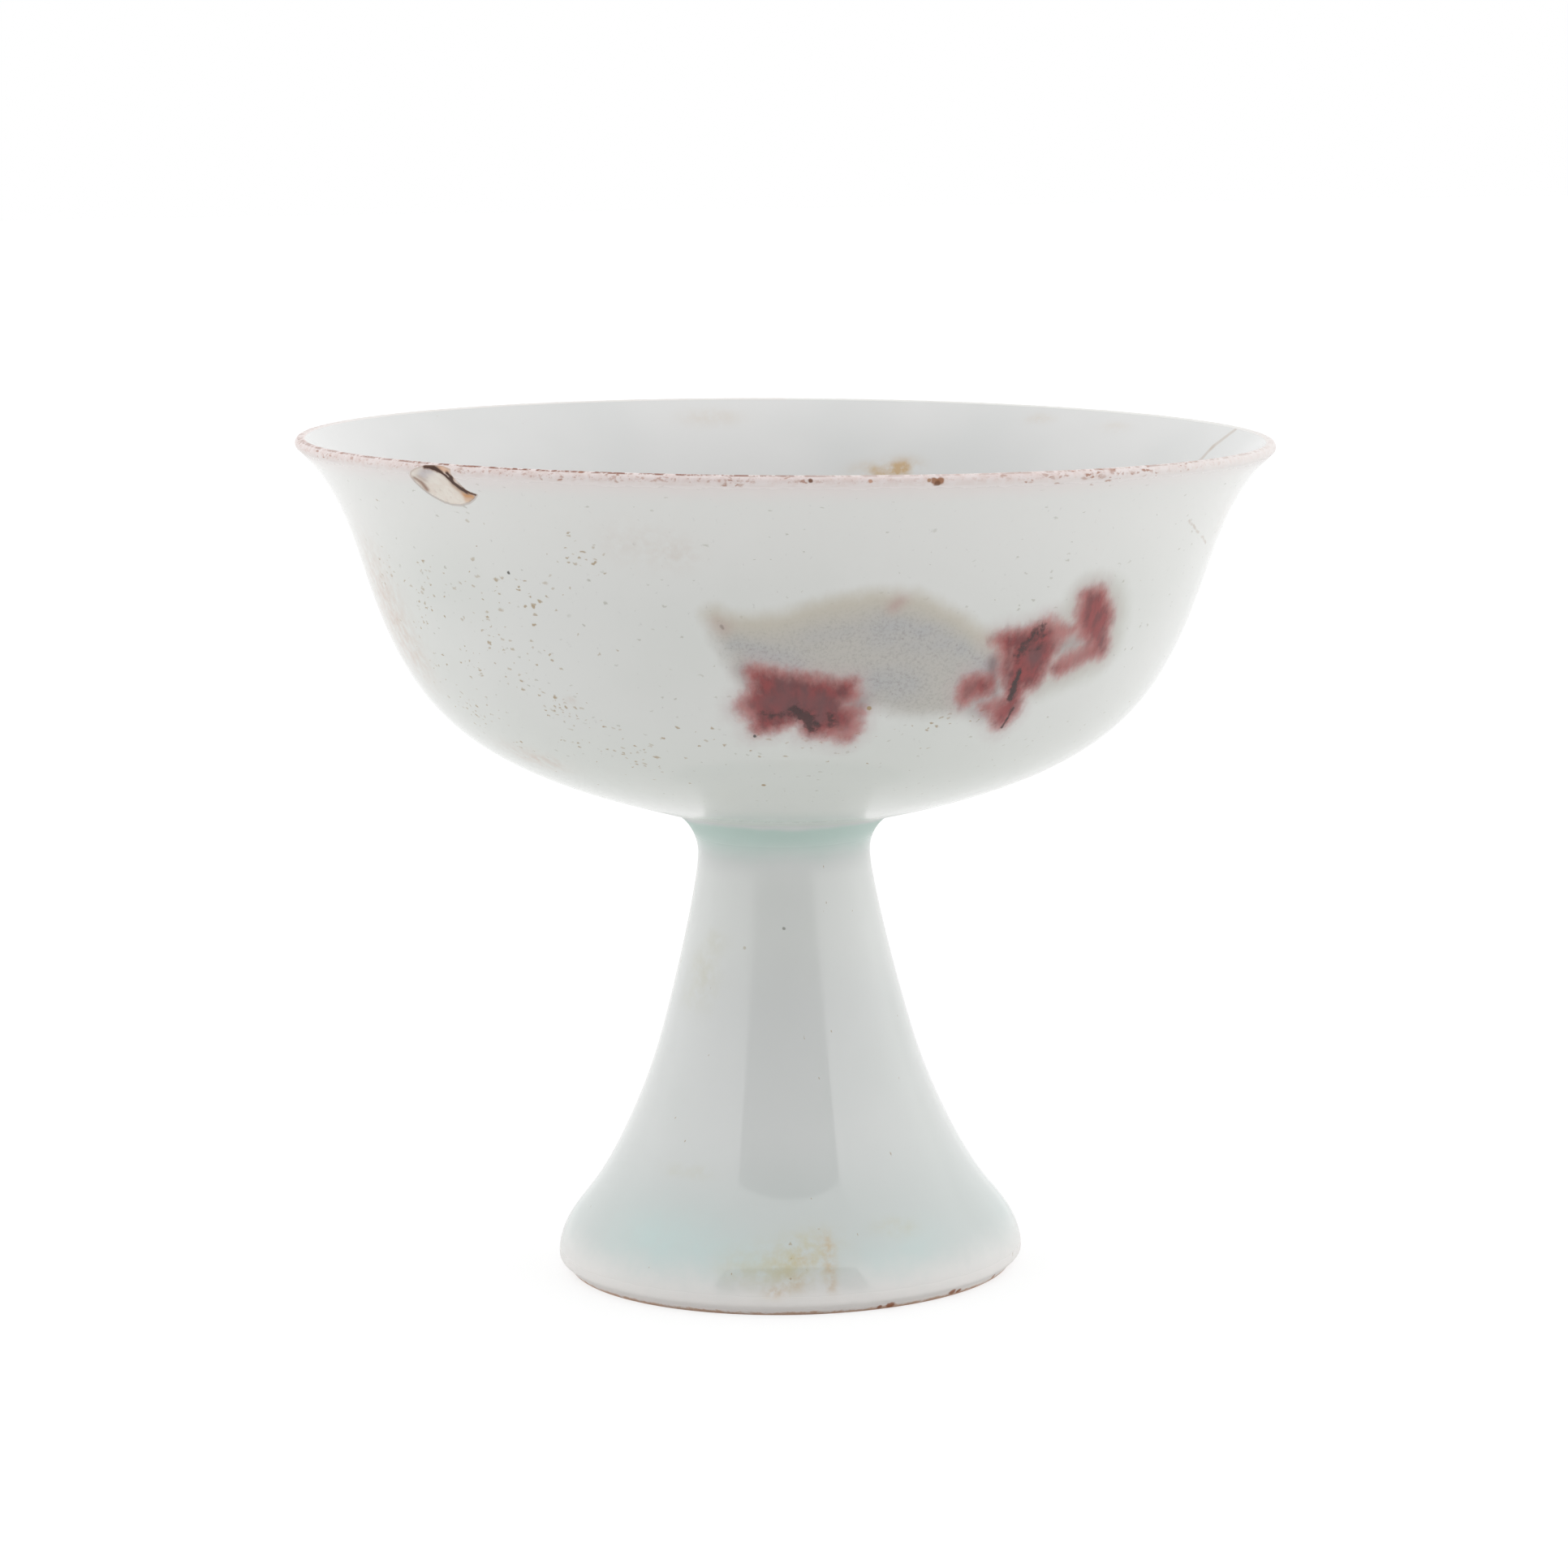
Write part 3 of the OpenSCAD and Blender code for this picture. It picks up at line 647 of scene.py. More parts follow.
def make_specks():
    """Mask of specks on the wall map: one to a cell of Cell millimetres, where the cell's chance is under
    Density. Noise bends the round specks into short dashes."""
    nodes, given, out = new_group("specks", ("Place",), ("Density", "Cell", "Size"))
    spot = nodes.vector("MULTIPLY", nodes.bent(given["Place"], 1.5, 0.6, "2D"), (0.55, 1.0, 1.0))
    cell = nodes.add("ShaderNodeTexVoronoi", {"voronoi_dimensions": "2D"}, Vector=spot, Randomness=1.0,
                     Scale=nodes.math("DIVIDE", 1.0, given["Cell"]))
    draw = nodes.add("ShaderNodeSeparateColor", {}, Color=cell["Color"])
    chance = nodes.math("LESS_THAN", draw["Red"], given["Density"])
    size, strength = given["Size"] * (draw["Green"] * 0.9 + 0.4), draw["Blue"] * 0.6 + 0.4
    gap = cell["Distance"] * given["Cell"]
    nodes.feed(out["Mask"], chance * (gap / size).ease(1.2, 0.4) * strength)


def make_spot():
    """Mask of one spot: 1 within Radius millimetres of Centre, with a ragged edge."""
    nodes, given, out = new_group("spot", ("Centre",), ("Radius",))
    gap = nodes.vector("DISTANCE", nodes.place(), given["Centre"], output="Value")
    ragged = nodes.noise(2.2) * 1.1 + 0.45
    nodes.feed(out["Mask"], (gap / (given["Radius"] * ragged)).ease(1.2, 0.6))


def make_stroke():
    """Mask of a fine stroke: 1 within half of Width of the line from Start to End, in the place's own
    millimetres, with a little wander."""
    nodes, given, out = new_group("stroke", ("Place", "Start", "End"), ("Width",))
    spot = nodes.vector("SUBTRACT", nodes.bent(given["Place"], 0.9, 0.5), given["Start"])
    step = nodes.vector("SUBTRACT", given["End"], given["Start"])
    done, whole = (nodes.vector("DOT_PRODUCT", side, step, output="Value") for side in (spot, step))
    share = nodes.add("ShaderNodeClamp", {}, Value=done / whole)["Result"]
    gap = nodes.vector("DISTANCE", spot, nodes.vector("MULTIPLY", step, share), output="Value")
    nodes.feed(out["Mask"], (gap / given["Width"]).ease(0.8, 0.2))


def make_glaze_depth():
    """Slow changes in the glaze: Tone wanders over tens of millimetres, Haze over a few, and Height is the
    faint swell of a fired surface, in millimetres."""
    nodes, _, out = new_group("glaze_depth", outputs=("Tone", "Haze", "Height"))
    nodes.feed(out["Tone"], nodes.noise(0.045, offset=3.0).ease(0.35, 0.65))
    nodes.feed(out["Haze"], nodes.noise(0.4, 4.0, offset=11.0, rough=0.6).ease(0.35, 0.7))
    nodes.feed(out["Height"], nodes.noise(0.11, 1.0, offset=5.0) * 0.05)


make_soft_field()
make_specks()
make_spot()
make_stroke()
make_glaze_depth()


def new_material(name):
    """The nodes of a new material."""
    material = bpy.data.materials.new(name)
    material.use_nodes = True
    return Nodes(material.node_tree, material)


def finished(nodes, colour, roughness, height):
    """The nodes' material, with its shader fed: colour, roughness and bump of a height in millimetres."""
    bump = nodes.add("ShaderNodeBump", {}, Strength=bump_strength, Distance=MM, Height=height)["Normal"]
    shader = nodes.tree.nodes["Principled BSDF"]
    nodes.feed_all(shader, {"Base Color": colour, "Roughness": roughness, "IOR": glaze_ior, "Normal": bump})
    return nodes.owner


def place_on(line, azimuth, height):
    """The point of a turned and leaned line at an azimuth and height, in millimetres."""
    rising = line[np.argsort(line[:, 1])]
    r = np.interp(height, rising[:, 1], rising[:, 0])
    turn = math.radians(azimuth)
    point = hand_lean(np.array([[r * math.sin(turn), -r * math.cos(turn), height]]))[0]
    return tuple(float(c) for c in point)


# Glaze
glaze_ior, bump_strength = 1.58, 0.5
glaze_white, glaze_shade, glaze_belly, glaze_upper = "#d5d6d3", "#d0d2ce", "#ced2cc", "#ddddda"
lining_white, lining_shade, bore_shade = "#d6d6d5", "#d0d1d0", "#c7cac4"
stem_white, stem_shade, stem_low, stem_pale = "#d2d4d3", "#cdd0ce", "#c4cac8", "#d8dad8"
pool_green, foot_white, neck_green = "#c1d1cf", "#e9e4e1", "#b3c9c1"

# Fish
wash_grey, wash_blue, wash_tan, wash_pink = "#b3afa8", "#a4a5a8", "#bdb6a6", "#ad9188"
wash_fleck, halo_olive, red_stray, red_mauve = "#7d7873", "#b6b7ad", "#b7a3a4", "#7b6667"
red_mid, red_deep, red_light, red_plum = "#862829", "#671d20", "#b46862", "#583639"
streak_dark = "#320c0c"

# Specks, stains and cracks
speck_brown, speck_grey, speck_pale, speck_fine = "#9b835a", "#959690", "#bdb8ab", "#b0afa5"
stain_ochre, stain_tan, stain_pink, stain_olive = "#c09b64", "#bfa37e", "#bca18f", "#c0bb9d"
dot_black, rust_brown, crack_grey = "#3d3a36", "#96562a", "#b3a395"

# Lip, clay and slip
lip_pink, lip_bare, rim_brown, fleck_rust = "#e0d5d3", "#d9c9c5", "#7f4627", "#a56f57"
lip_rust, lip_amber, lip_dark, lip_fawn = "#8e5626", "#925a2b", "#6e4018", "#a07450"
lip_umber, lip_rose, slip_pale, slip_dark = "#6c3a12", "#b98a72", "#d3c0b0", "#bfa893"
# The crevice's dark brown and the scar's brown darken the flake along its step: partly painted shade,
# partly dirt and stain.
clay_cream, clay_tan, clay_burnt, crevice_shade_brown = "#ded3c8", "#cdb9a6", "#cca78f", "#44281a"
scar_cream, scar_beige, scar_peach = "#e3dcd2", "#ad8f74", "#cfa585"
scar_ochre, scar_grey, scar_brown_stain_and_shade = "#c08850", "#b5adb0", "#865f48"

# Where a look starts and where it is full: heights, then distances from the lip's top and turns of the
# lip in degrees, radii of the foot, and distances from the flake's edge and below the fish's back
belly_zone, upper_zone, underside_zone = (65.6, 51.6), (71.6, 83.6), (50.2, 48.1)
shaft_zone, shaft_end, upper_dull_zone, flare_zone = (28.0, 37.0), (44.0, 41.5), (18.0, 37.0), (17.6, 6.6)
neck_zone, neck_end, neck_dull_zone = (42.8, 46.4), (47.7, 47.0), (44.8, 46.4)
foot_zone, foot_dull_zone, bore_zone = (6.4, 0.6), (3.4, 0.8), (5.5, 3.0)
lip_zone, lip_dull_zone, lip_round = (3.8, 0.6), (3.0, 0.5), (0.0, 85.0)
dash_zone, dash_end, fleck_zone, fleck_end = (94.0, 108.0), (168.0, 150.0), (25.0, 45.0), (100.0, 75.0)
inner_burn, outer_burn = (base_r - 3.6, base_r - 4.4), (base_r - 0.5, base_r)
outer_pale = base_r + 0.5, base_r + 0.75
flake_rim, scar_rim, scar_zone, back_zone = (0.2, 0.06), (-0.24, -0.02), (0.05, -0.05), (3.4, 0.2)

# Specks as (cell, size) in millimetres, and how strongly specks and spots cover
kiln_specks, fine_specks = ((1.1, 0.2), (0.55, 0.13)), ((0.8, 0.12),)
lip_glaze_specks, lip_clay_specks = ((0.7, 0.18),), ((0.7, 0.2), (0.45, 0.13))
fine_density, speck_strength, spot_strength = 0.1, 0.8, 0.9

# Single spots as (azimuth, height, radius, colour), and cracks as (azimuth, height) from place to place
bowl_spots = [(-37.0, 76, 0.2, dot_black), (-3.8, 55, 0.25, speck_brown), (-4.5, 60.7, 0.2, dot_black),
              (11.7, 63.6, 0.26, speck_brown)]
lip_spots = [(15.9, 86.02, 0.4, lip_rust), (16.5, 86.05, 0.4, lip_amber), (16.2, 85.8, 0.3, lip_dark),
             (15.3, 86.1, 0.2, lip_fawn), (2.5, 86.15, 0.24, lip_umber), (8.9, 86.1, 0.22, lip_rose)]
stem_spots = [(-0.8, 37.0, 0.17, speck_grey), (-23.7, 35.0, 0.18, speck_pale),
              (14.8, 45.8, 0.22, speck_brown)]
base_spots = [(*spot, rust_brown) for spot in (
    (25.5, 0.4, 0.5), (22.5, 0.3, 0.35), (44.5, 0.5, 0.5), (47, 0.4, 0.35), (63, 0.5, 0.35))]
base_line = np.array([base_edge, bare_edge])
outside_crack = ((59.4, 80.2), (70.4, 77.2))
inside_crack = ((107.7, 82.1), (106.8, 84.4), (105, 86.3))

# Edges of the fish's parts: (field, millimetres that it grows, Ragged, Grain, Softness)
fish_edges = {"halo": ("halo", 0.0, 0.8, 0.7, 3.0), "body": ("wash", 0.0, 0.9, 0.8, 2.2),
              "stray": ("red", 1.0, 1.4, 1.0, 2.8), "fringe": ("red", 0.3, 1.3, 1.7, 1.6),
              "core": ("red", -0.05, 1.5, 1.3, 2.1)}


def speck_layers(nodes, density, cells=kiln_specks, code=speck_brown):
    """Layers of specks, one for each size, where the density lets them."""
    return [(code, nodes.group("specks", Place=nodes.wall(), Density=density, Cell=cell, Size=size)["Mask"],
             speck_strength) for cell, size in cells]


def stain_layer(nodes, strength, code, grain=0.9):
    """Layer of a stain, broken up by noise."""
    return code, nodes.noise(grain, 4.0, offset=31.0, rough=0.6).ease(0.25, 0.7), strength


def spot_layers(nodes, line, spots):
    """Layers of single spots on a turned line."""
    return [(code, nodes.group("spot", Centre=place_on(line, azimuth, height), Radius=radius)["Mask"],
             spot_strength) for azimuth, height, radius, code in spots]


def crack_layers(nodes, line, spots, width, strength):
    """Layers of a hairline crack, from place to place on a turned line."""
    places = [place_on(line, *spot) for spot in spots]
    masks = [nodes.group("stroke", Place=nodes.place(), Start=start, End=end, Width=width)["Mask"]
             for start, end in zip(places, places[1:])]
    return [(crack_grey, mask, strength) for mask in masks]


def fish_mask(nodes, part):
    """Mask of a part of the fish, from the distance to its outline and the part's own edge."""
    field, growth, ragged, grain, softness = fish_edges[part]
    return nodes.group("soft_field", Distance=nodes.field(field) - growth, Ragged=ragged, Grain=grain,
                       Softness=softness)["Mask"]


def wash_layers(nodes):
    """Layers of the fish's body: an olive halo round the tail and a grainy grey wash, bluer in zones and
    tan along its back."""
    grain = nodes.noise(3.2, 4.0, offset=41.0, rough=0.75).ease(0.44, 0.72)
    drift = nodes.noise(0.3, 3.0, stretch=(1, 1, 1.8), offset=45.0).ease(0.3, 0.7)
    blue = nodes.field("blue") * (drift * 0.5 + 0.4)
    back = nodes.field("below_back").ease(*back_zone)
    grey = nodes.stack(wash_grey, (wash_blue, blue), (wash_fleck, grain, blue * 0.3 + 0.4),
                       (wash_tan, back, 0.85), (wash_pink, nodes.field("pink")))
    return (halo_olive, fish_mask(nodes, "halo"), 0.75), (grey, fish_mask(nodes, "body"), 0.9)


def red_layers(nodes):
    """Layers of the fish's red fields: a pink, frayed fringe, a core with upright runs, plum and near-black
    brushwork."""
    kept = nodes.field("faded") * -0.57 + 0.95
    runs = nodes.noise(1.0, 4.0, stretch=(1, 1, 0.35), offset=51.0, rough=0.6).ease(0.38, 0.62)
    tone = nodes.stack(red_deep, (red_mid, runs), (red_plum, nodes.field("plum"), 0.8))
    frayed = nodes.noise(1.8, 4.0, offset=55.0, rough=0.6) * 2.2 - 1.15
    dark = (nodes.field("dark") + frayed).ease(0.25, 1.1)
    layers = [(red_stray, fish_mask(nodes, "stray"), 0.5), (red_mauve, nodes.field("mauve")),
              (red_light, fish_mask(nodes, "fringe"), 0.7), (tone, fish_mask(nodes, "core"), kept),
              (streak_dark, dark, 0.9)]
    across, up = nodes.field("fish_across"), nodes.field("fish_up")
    place = nodes.add("ShaderNodeCombineXYZ", {}, X=across, Y=up)["Vector"]
    for width, strength, *line in fish_fine_strokes:
        start, end = ((x, y, 0) for x, y in (points(*line) * fish_step).tolist())
        fine = nodes.group("stroke", Place=place, Start=start, End=end, Width=width)["Mask"]
        layers.append((streak_dark, fine, strength))
    return layers


def lip_layer(nodes):
    """Layer of the lip's thin, pinkish glaze, fading with the distance from the lip's top."""
    level = nodes.field("lip") + nodes.noise(0.7, 3.0, offset=61.0) - 0.5
    return lip_pink, level.ease(*lip_zone, 0.0, 0.7), nodes.field("rim_pink")


def bowl_glaze_material():
    """Clear glaze on the outside of the bowl: pale, greener in the belly, pink and thin at the lip, with
    the fish, kiln specks, stains and a hairline crack."""
    nodes = new_material("bowl_clear_glaze")
    depth, height = nodes.group("glaze_depth"), nodes.field("height")
    flake_edge = nodes.math("ABSOLUTE", nodes.field("flake")).ease(*flake_rim)
    colour = nodes.stack(
        glaze_white, (glaze_shade, depth["Tone"]), (glaze_belly, height.ease(*belly_zone), 0.8),
        (glaze_upper, height.ease(*upper_zone), 0.8),
        *speck_layers(nodes, fine_density, fine_specks, speck_fine),
        *speck_layers(nodes, nodes.field("specks")),
        *wash_layers(nodes), *red_layers(nodes), lip_layer(nodes),
        stain_layer(nodes, nodes.field("stain") * 0.6, stain_pink),
        *speck_layers(nodes, nodes.field("lip_specks"), lip_glaze_specks, rust_brown),
        *spot_layers(nodes, bowl_line, bowl_spots),
        *crack_layers(nodes, bowl_line, outside_crack, 0.3, 0.6), (scar_brown_stain_and_shade, flake_edge, 0.35))
    rough = nodes.field("lip").ease(*lip_dull_zone, 0.1, 0.3) + height.ease(*underside_zone, 0.0, 0.25)
    return finished(nodes, colour, depth["Haze"] * 0.04 + rough, depth["Height"])


def lining_material():
    """Clear glaze inside the bowl: a little cleaner than outside, with tan stains and a hairline crack."""
    nodes = new_material("lining_clear_glaze")
    depth = nodes.group("glaze_depth")
    colour = nodes.stack(
        lining_white, (lining_shade, depth["Tone"]),
        stain_layer(nodes, nodes.field("stain"), stain_tan, 0.4),
        *speck_layers(nodes, depth["Haze"] * 0.006),
        *crack_layers(nodes, inside_line, inside_crack, 0.8, 0.6))
    return finished(nodes, colour, depth["Haze"] * 0.05 + 0.14, depth["Height"])


def stem_colour(nodes, depth):
    """The stem's own pale glaze: a soft green under the bowl that fades downwards, paler below the neck, a
    little bluer and darker on the flare and the foot."""
    height = nodes.field("height")
    level = height + nodes.noise(0.3, offset=75.0) * 0.7 - 0.35
    return nodes.stack(
        stem_white, (stem_shade, depth["Tone"]),
        (stem_pale, height.ease(*shaft_zone), height.ease(*shaft_end)),
        (neck_green, level.ease(*neck_zone), level.ease(*neck_end, 0.0, 0.9)),
        (stem_low, height.ease(*flare_zone), 0.9))


def stem_glaze_material():
    """Clear glaze on the stem: pale, duller near its top, with blue-green pools on the foot, a whiter edge
    and ochre stains."""
    nodes = new_material("stem_clear_glaze")
    depth, height, haze = nodes.group("glaze_depth"), nodes.field("height"), nodes.field("haze")
    colour = nodes.stack(
        stem_colour(nodes, depth), (pool_green, nodes.field("pool"), depth["Haze"] * 0.3 + 0.7),
        (foot_white, (depth["Haze"] * 0.5 + height).ease(*foot_zone), 0.85),
        stain_layer(nodes, haze * 0.8, stain_olive, 0.6),
        stain_layer(nodes, nodes.field("stain") * 0.5, stain_ochre, 1.2),
        *speck_layers(nodes, haze * 0.012 + 0.002), *spot_layers(nodes, stem_line, stem_spots),
        *spot_layers(nodes, base_line, base_spots))
    rough = height.ease(*foot_dull_zone, 0.05, 0.5) + height.ease(*upper_dull_zone, 0.0, 0.15)
    return finished(nodes, colour, depth["Haze"] * 0.03 + rough, depth["Height"])


def neck_material():
    """Pooled glaze at the neck: the stem's colour, duller towards the bowl."""
    nodes = new_material("neck_green_glaze")
    depth = nodes.group("glaze_depth")
    rough = nodes.field("height").ease(*neck_dull_zone, 0.215, 0.5)
    return finished(nodes, stem_colour(nodes, depth), rough, depth["Height"])


def bowl_clay_material():
    """Clay of the bowl: pink and rubbed on the lip with brown dashes along its top, pale cream in the
    flake's scar, dark along the crevice with painted shade of its step and brown dirt, and ochre at its
    right tip."""
    nodes = new_material("bowl_clay")
    turn, dark, flake = nodes.field("lip_turn"), nodes.field("rim_dark"), nodes.field("flake")
    pink = nodes.stack(lip_pink, (lip_bare, nodes.noise(1.2, 4.0, offset=81.0).ease(0.35, 0.7)))
    dashes = nodes.noise(1.0, 4.0, stretch=(1, 1, 0.4), offset=83.0, rough=0.7).ease(0.43, 0.57)
    dashes = dashes * turn.ease(*dash_zone) * turn.ease(*dash_end) * dark
    flecks = nodes.noise(2.2, 4.0, stretch=(1, 1, 1.6), offset=87.0, rough=0.65).ease(0.52, 0.64)
    flecks = flecks * turn.ease(*fleck_zone) * turn.ease(*fleck_end) * dark
    body = nodes.stack(
        glaze_upper, (pink, turn.ease(*lip_round, 0.65, 1.0), nodes.field("rim_pink")), (rim_brown, dashes),
        (fleck_rust, flecks, 0.6),
        *speck_layers(nodes, nodes.field("lip_specks"), lip_clay_specks, rust_brown),
        *spot_layers(nodes, lip_arc[:half_lip + 1], lip_spots))

    # Painted shade: the crevice under the flake's upper step is darkened, with brown dirt in it, and a
    # brown haze of shade and dirt fades out beside it.
    crevice_shade_and_dirt = nodes.field("flake_crevice_shade") + nodes.noise(2.2, 3.0, offset=93.0) * 0.5 - 0.25
    crevice = crevice_shade_and_dirt.ease(0.3, 0.7)
    scar = nodes.stack(
        scar_cream, (clay_cream, nodes.noise(0.9, 3.0, offset=91.0).ease(0.35, 0.7)),
        *((code, nodes.field("flake_" + name)) for name, code in (
            ("grey", scar_grey), ("strip", scar_beige), ("peach", scar_peach), ("ochre", scar_ochre),
            ("stain", scar_brown_stain_and_shade))),
        (scar_brown_stain_and_shade, crevice_shade_and_dirt.ease(0.0, 0.4), 0.7), (crevice_shade_brown, crevice),
        (scar_brown_stain_and_shade, flake.ease(*scar_rim), 0.4))
    colour = nodes.stack(body, (scar, flake.ease(*scar_zone)))
    dull = nodes.math("MAXIMUM", crevice, dashes)
    return finished(nodes, colour, dull * 0.4 + 0.4, nodes.noise(3.0, 3.0, offset=97.0) * 0.02)


def stem_clay_material():
    """Bare clay of the foot: cream, burnt brown along its standing edge and gritty where it stands."""
    nodes = new_material("stem_clay")
    radius = nodes.field("radius")
    inner = (radius + nodes.noise(0.8, 3.0, offset=103.0) * 1.2 - 0.6).ease(*inner_burn)
    outer = radius + nodes.noise(0.9, 4.0, offset=105.0, rough=0.65) * 0.8
    pale = outer.ease(*outer_pale)
    burnt = outer.ease(*outer_burn) - pale
    colour = nodes.stack(
        clay_cream, (clay_tan, nodes.noise(0.6, 4.0, offset=101.0).ease(0.35, 0.7)),
        (clay_burnt, inner, 0.6), (foot_white, pale), (clay_burnt, burnt, 0.8),
        *spot_layers(nodes, base_line, base_spots))
    return finished(nodes, colour, 0.7, nodes.noise(2.4, 4.0, offset=107.0, rough=0.65) * 0.06)


def bore_material():
    """Thin glaze in the hollow of the stem, over throwing lines."""
    nodes = new_material("bore_clear_glaze")
    lines = nodes.noise(0.9, stretch=(0.03, 0.03, 1), offset=111.0)
    colour = nodes.stack(glaze_white, (bore_shade, lines.ease(0.35, 0.65)),
                         (clay_burnt, nodes.field("height").ease(*bore_zone), 0.6))
    return finished(nodes, colour, 0.2, lines * 0.2 + nodes.group("glaze_depth")["Height"])


def slip_material():
    """Fired slip in the joint: darker than the clay, with fine grit."""
    nodes = new_material("joint_slip")
    grain = nodes.noise(2.0, 4.0, offset=121.0, rough=0.65)
    return finished(nodes, nodes.stack(slip_pale, (slip_dark, grain)), 0.75, grain * 0.06)


# How pink the lip is, least at the back and less on the right, and how strongly its top is dashed with
# brown, round the azimuths
pink_least, pink_gain, pink_loss = 0.2, 0.8, 0.4
pink_zone, loss_zone = (125, 75), (25, 60)
rim_pink = pink_least + pink_gain * smoothstep(*pink_zone, np.abs(azimuths))
rim_pink -= pink_loss * smoothstep(*loss_zone, azimuths)
rim_dark_at = points(-110, 0.1, -88, 0.45, -50, 0.7, -35, 0.95, -5, 0.85, 4, 0.5, 15, 0.3, 32, 0.45,
                     48, 0.45, 62, 0.3, 80, 0.12)
rim_dark = np.interp(azimuths, *rim_dark_at.T)

# One row in outer_step or inner_step is kept where it doesn't show. The clay rises towards the glaze's
# surface from meet_from to meet_to rows before the lip, by meet_share of the glaze. At the flake, the back
# of the glaze sinks back_share times as far as its front
outer_step, inner_step, meet_from, meet_to, meet_share, back_share = 6, 4, 10, 5, 0.96, 1.3


def make_bowl():
    """Bowl of clay with its tenon, its outer glaze with the fish, and its lining."""
    arc_down = np.concatenate([along(lip_arc[:half_lip + 1])[::-1], -along(lip_arc[half_lip:])[1:]])
    bowl_down = arc_down[0] + along(bowl_line[::-1])[::-1]
    last = len(bowl_line) - 1
    hidden = np.append(np.arange(last, 0, -outer_step), 0)

    depth, scar = flake_fields(bowl_down)
    edge = scar["flake"]
    covered = (depth + flake_clear) * smoothstep(flake_soft / 2, -flake_soft / 2, edge)
    outline = np.concatenate([bowl_line, bowl_clay_line[hidden]])
    r, z = outline[:, :1], outline[:, 1:]
    fields = fish_fields(r, z)
    fields.update({"lip": np.concatenate([bowl_down, bowl_down[hidden]])[:, None], "height": z,
                   "stain": blots(r, z, bowl_stains), "specks": blots(r, z, bowl_specks),
                   "lip_specks": blots(r, z, lip_specks), "rim_pink": rim_pink,
                   "flake": np.concatenate([edge, edge[hidden]])})
    push = np.concatenate([covered, -covered[hidden] * back_share])
    turned_piece("bowl_glaze", outline, bowl_glaze_material(),
                 ("bowl_outer_glaze", "fish_wash", "fish_red"), fields, len(bowl_line), push)

    turning = len(belly_line) - 1
    rows = np.r_[np.arange(0, turning, outer_step), np.arange(turning, last)]
    meeting = smoothstep(last + 1 - meet_from, last + 1 - meet_to, rows)[:, None] * meet_share
    outer = bowl_clay_line[rows] + meeting * (bowl_line - bowl_clay_line)[rows]
    tenon_end, tenon_top = np.array([tenon_r, tenon_z]), np.array([tenon_r, seat[1]])
    tenon = chain(straight(np.array([0.0, tenon_z]), tenon_end, 3), straight(tenon_end, tenon_top, 4),
                  straight(tenon_top, seat, 3))[:-1]
    inner = np.concatenate([inside_clay_line[1:-1:inner_step], [[0, inside_clay_line[-1, 1]]]])
    outline = np.concatenate([tenon, outer, lip_arc, inner])
    pad = ((len(tenon), len(inner)), (0, 0))
    depth, scar = flake_fields(np.concatenate([bowl_down[rows], arc_down]))
    cover = np.zeros((len(depth), 1))
    cover[:len(rows), 0] = np.linalg.norm(bowl_line[rows] - outer, axis=1)
    push = np.pad((depth - cover) * smoothstep(flake_soft / 2, -flake_soft / 2, scar["flake"]), pad)
    turns = np.concatenate([np.zeros(len(tenon) + len(outer)), np.linspace(0, 180, len(lip_arc)),
                            np.full(len(inner), 180)])
    fields = {name: np.pad(values, pad, mode="edge") for name, values in scar.items()}
    fields.update({"lip_turn": turns[:, None], "rim_dark": rim_dark, "rim_pink": rim_pink,
                   "lip_specks": blots(outline[:, :1], outline[:, 1:], lip_specks)})
    turned_piece("bowl_clay", outline, bowl_clay_material(), ("bowl_body",), fields, None, push)

    under = inside_clay_line[::-inner_step]
    outline = np.concatenate([[[0, under[0, 1]]], under[1:], inside_line])
    turned_piece("bowl_lining", outline, lining_material(), ("bowl_inner_glaze",),
                 {"stain": blots(outline[:, :1], outline[:, 1:], lining_stains)})


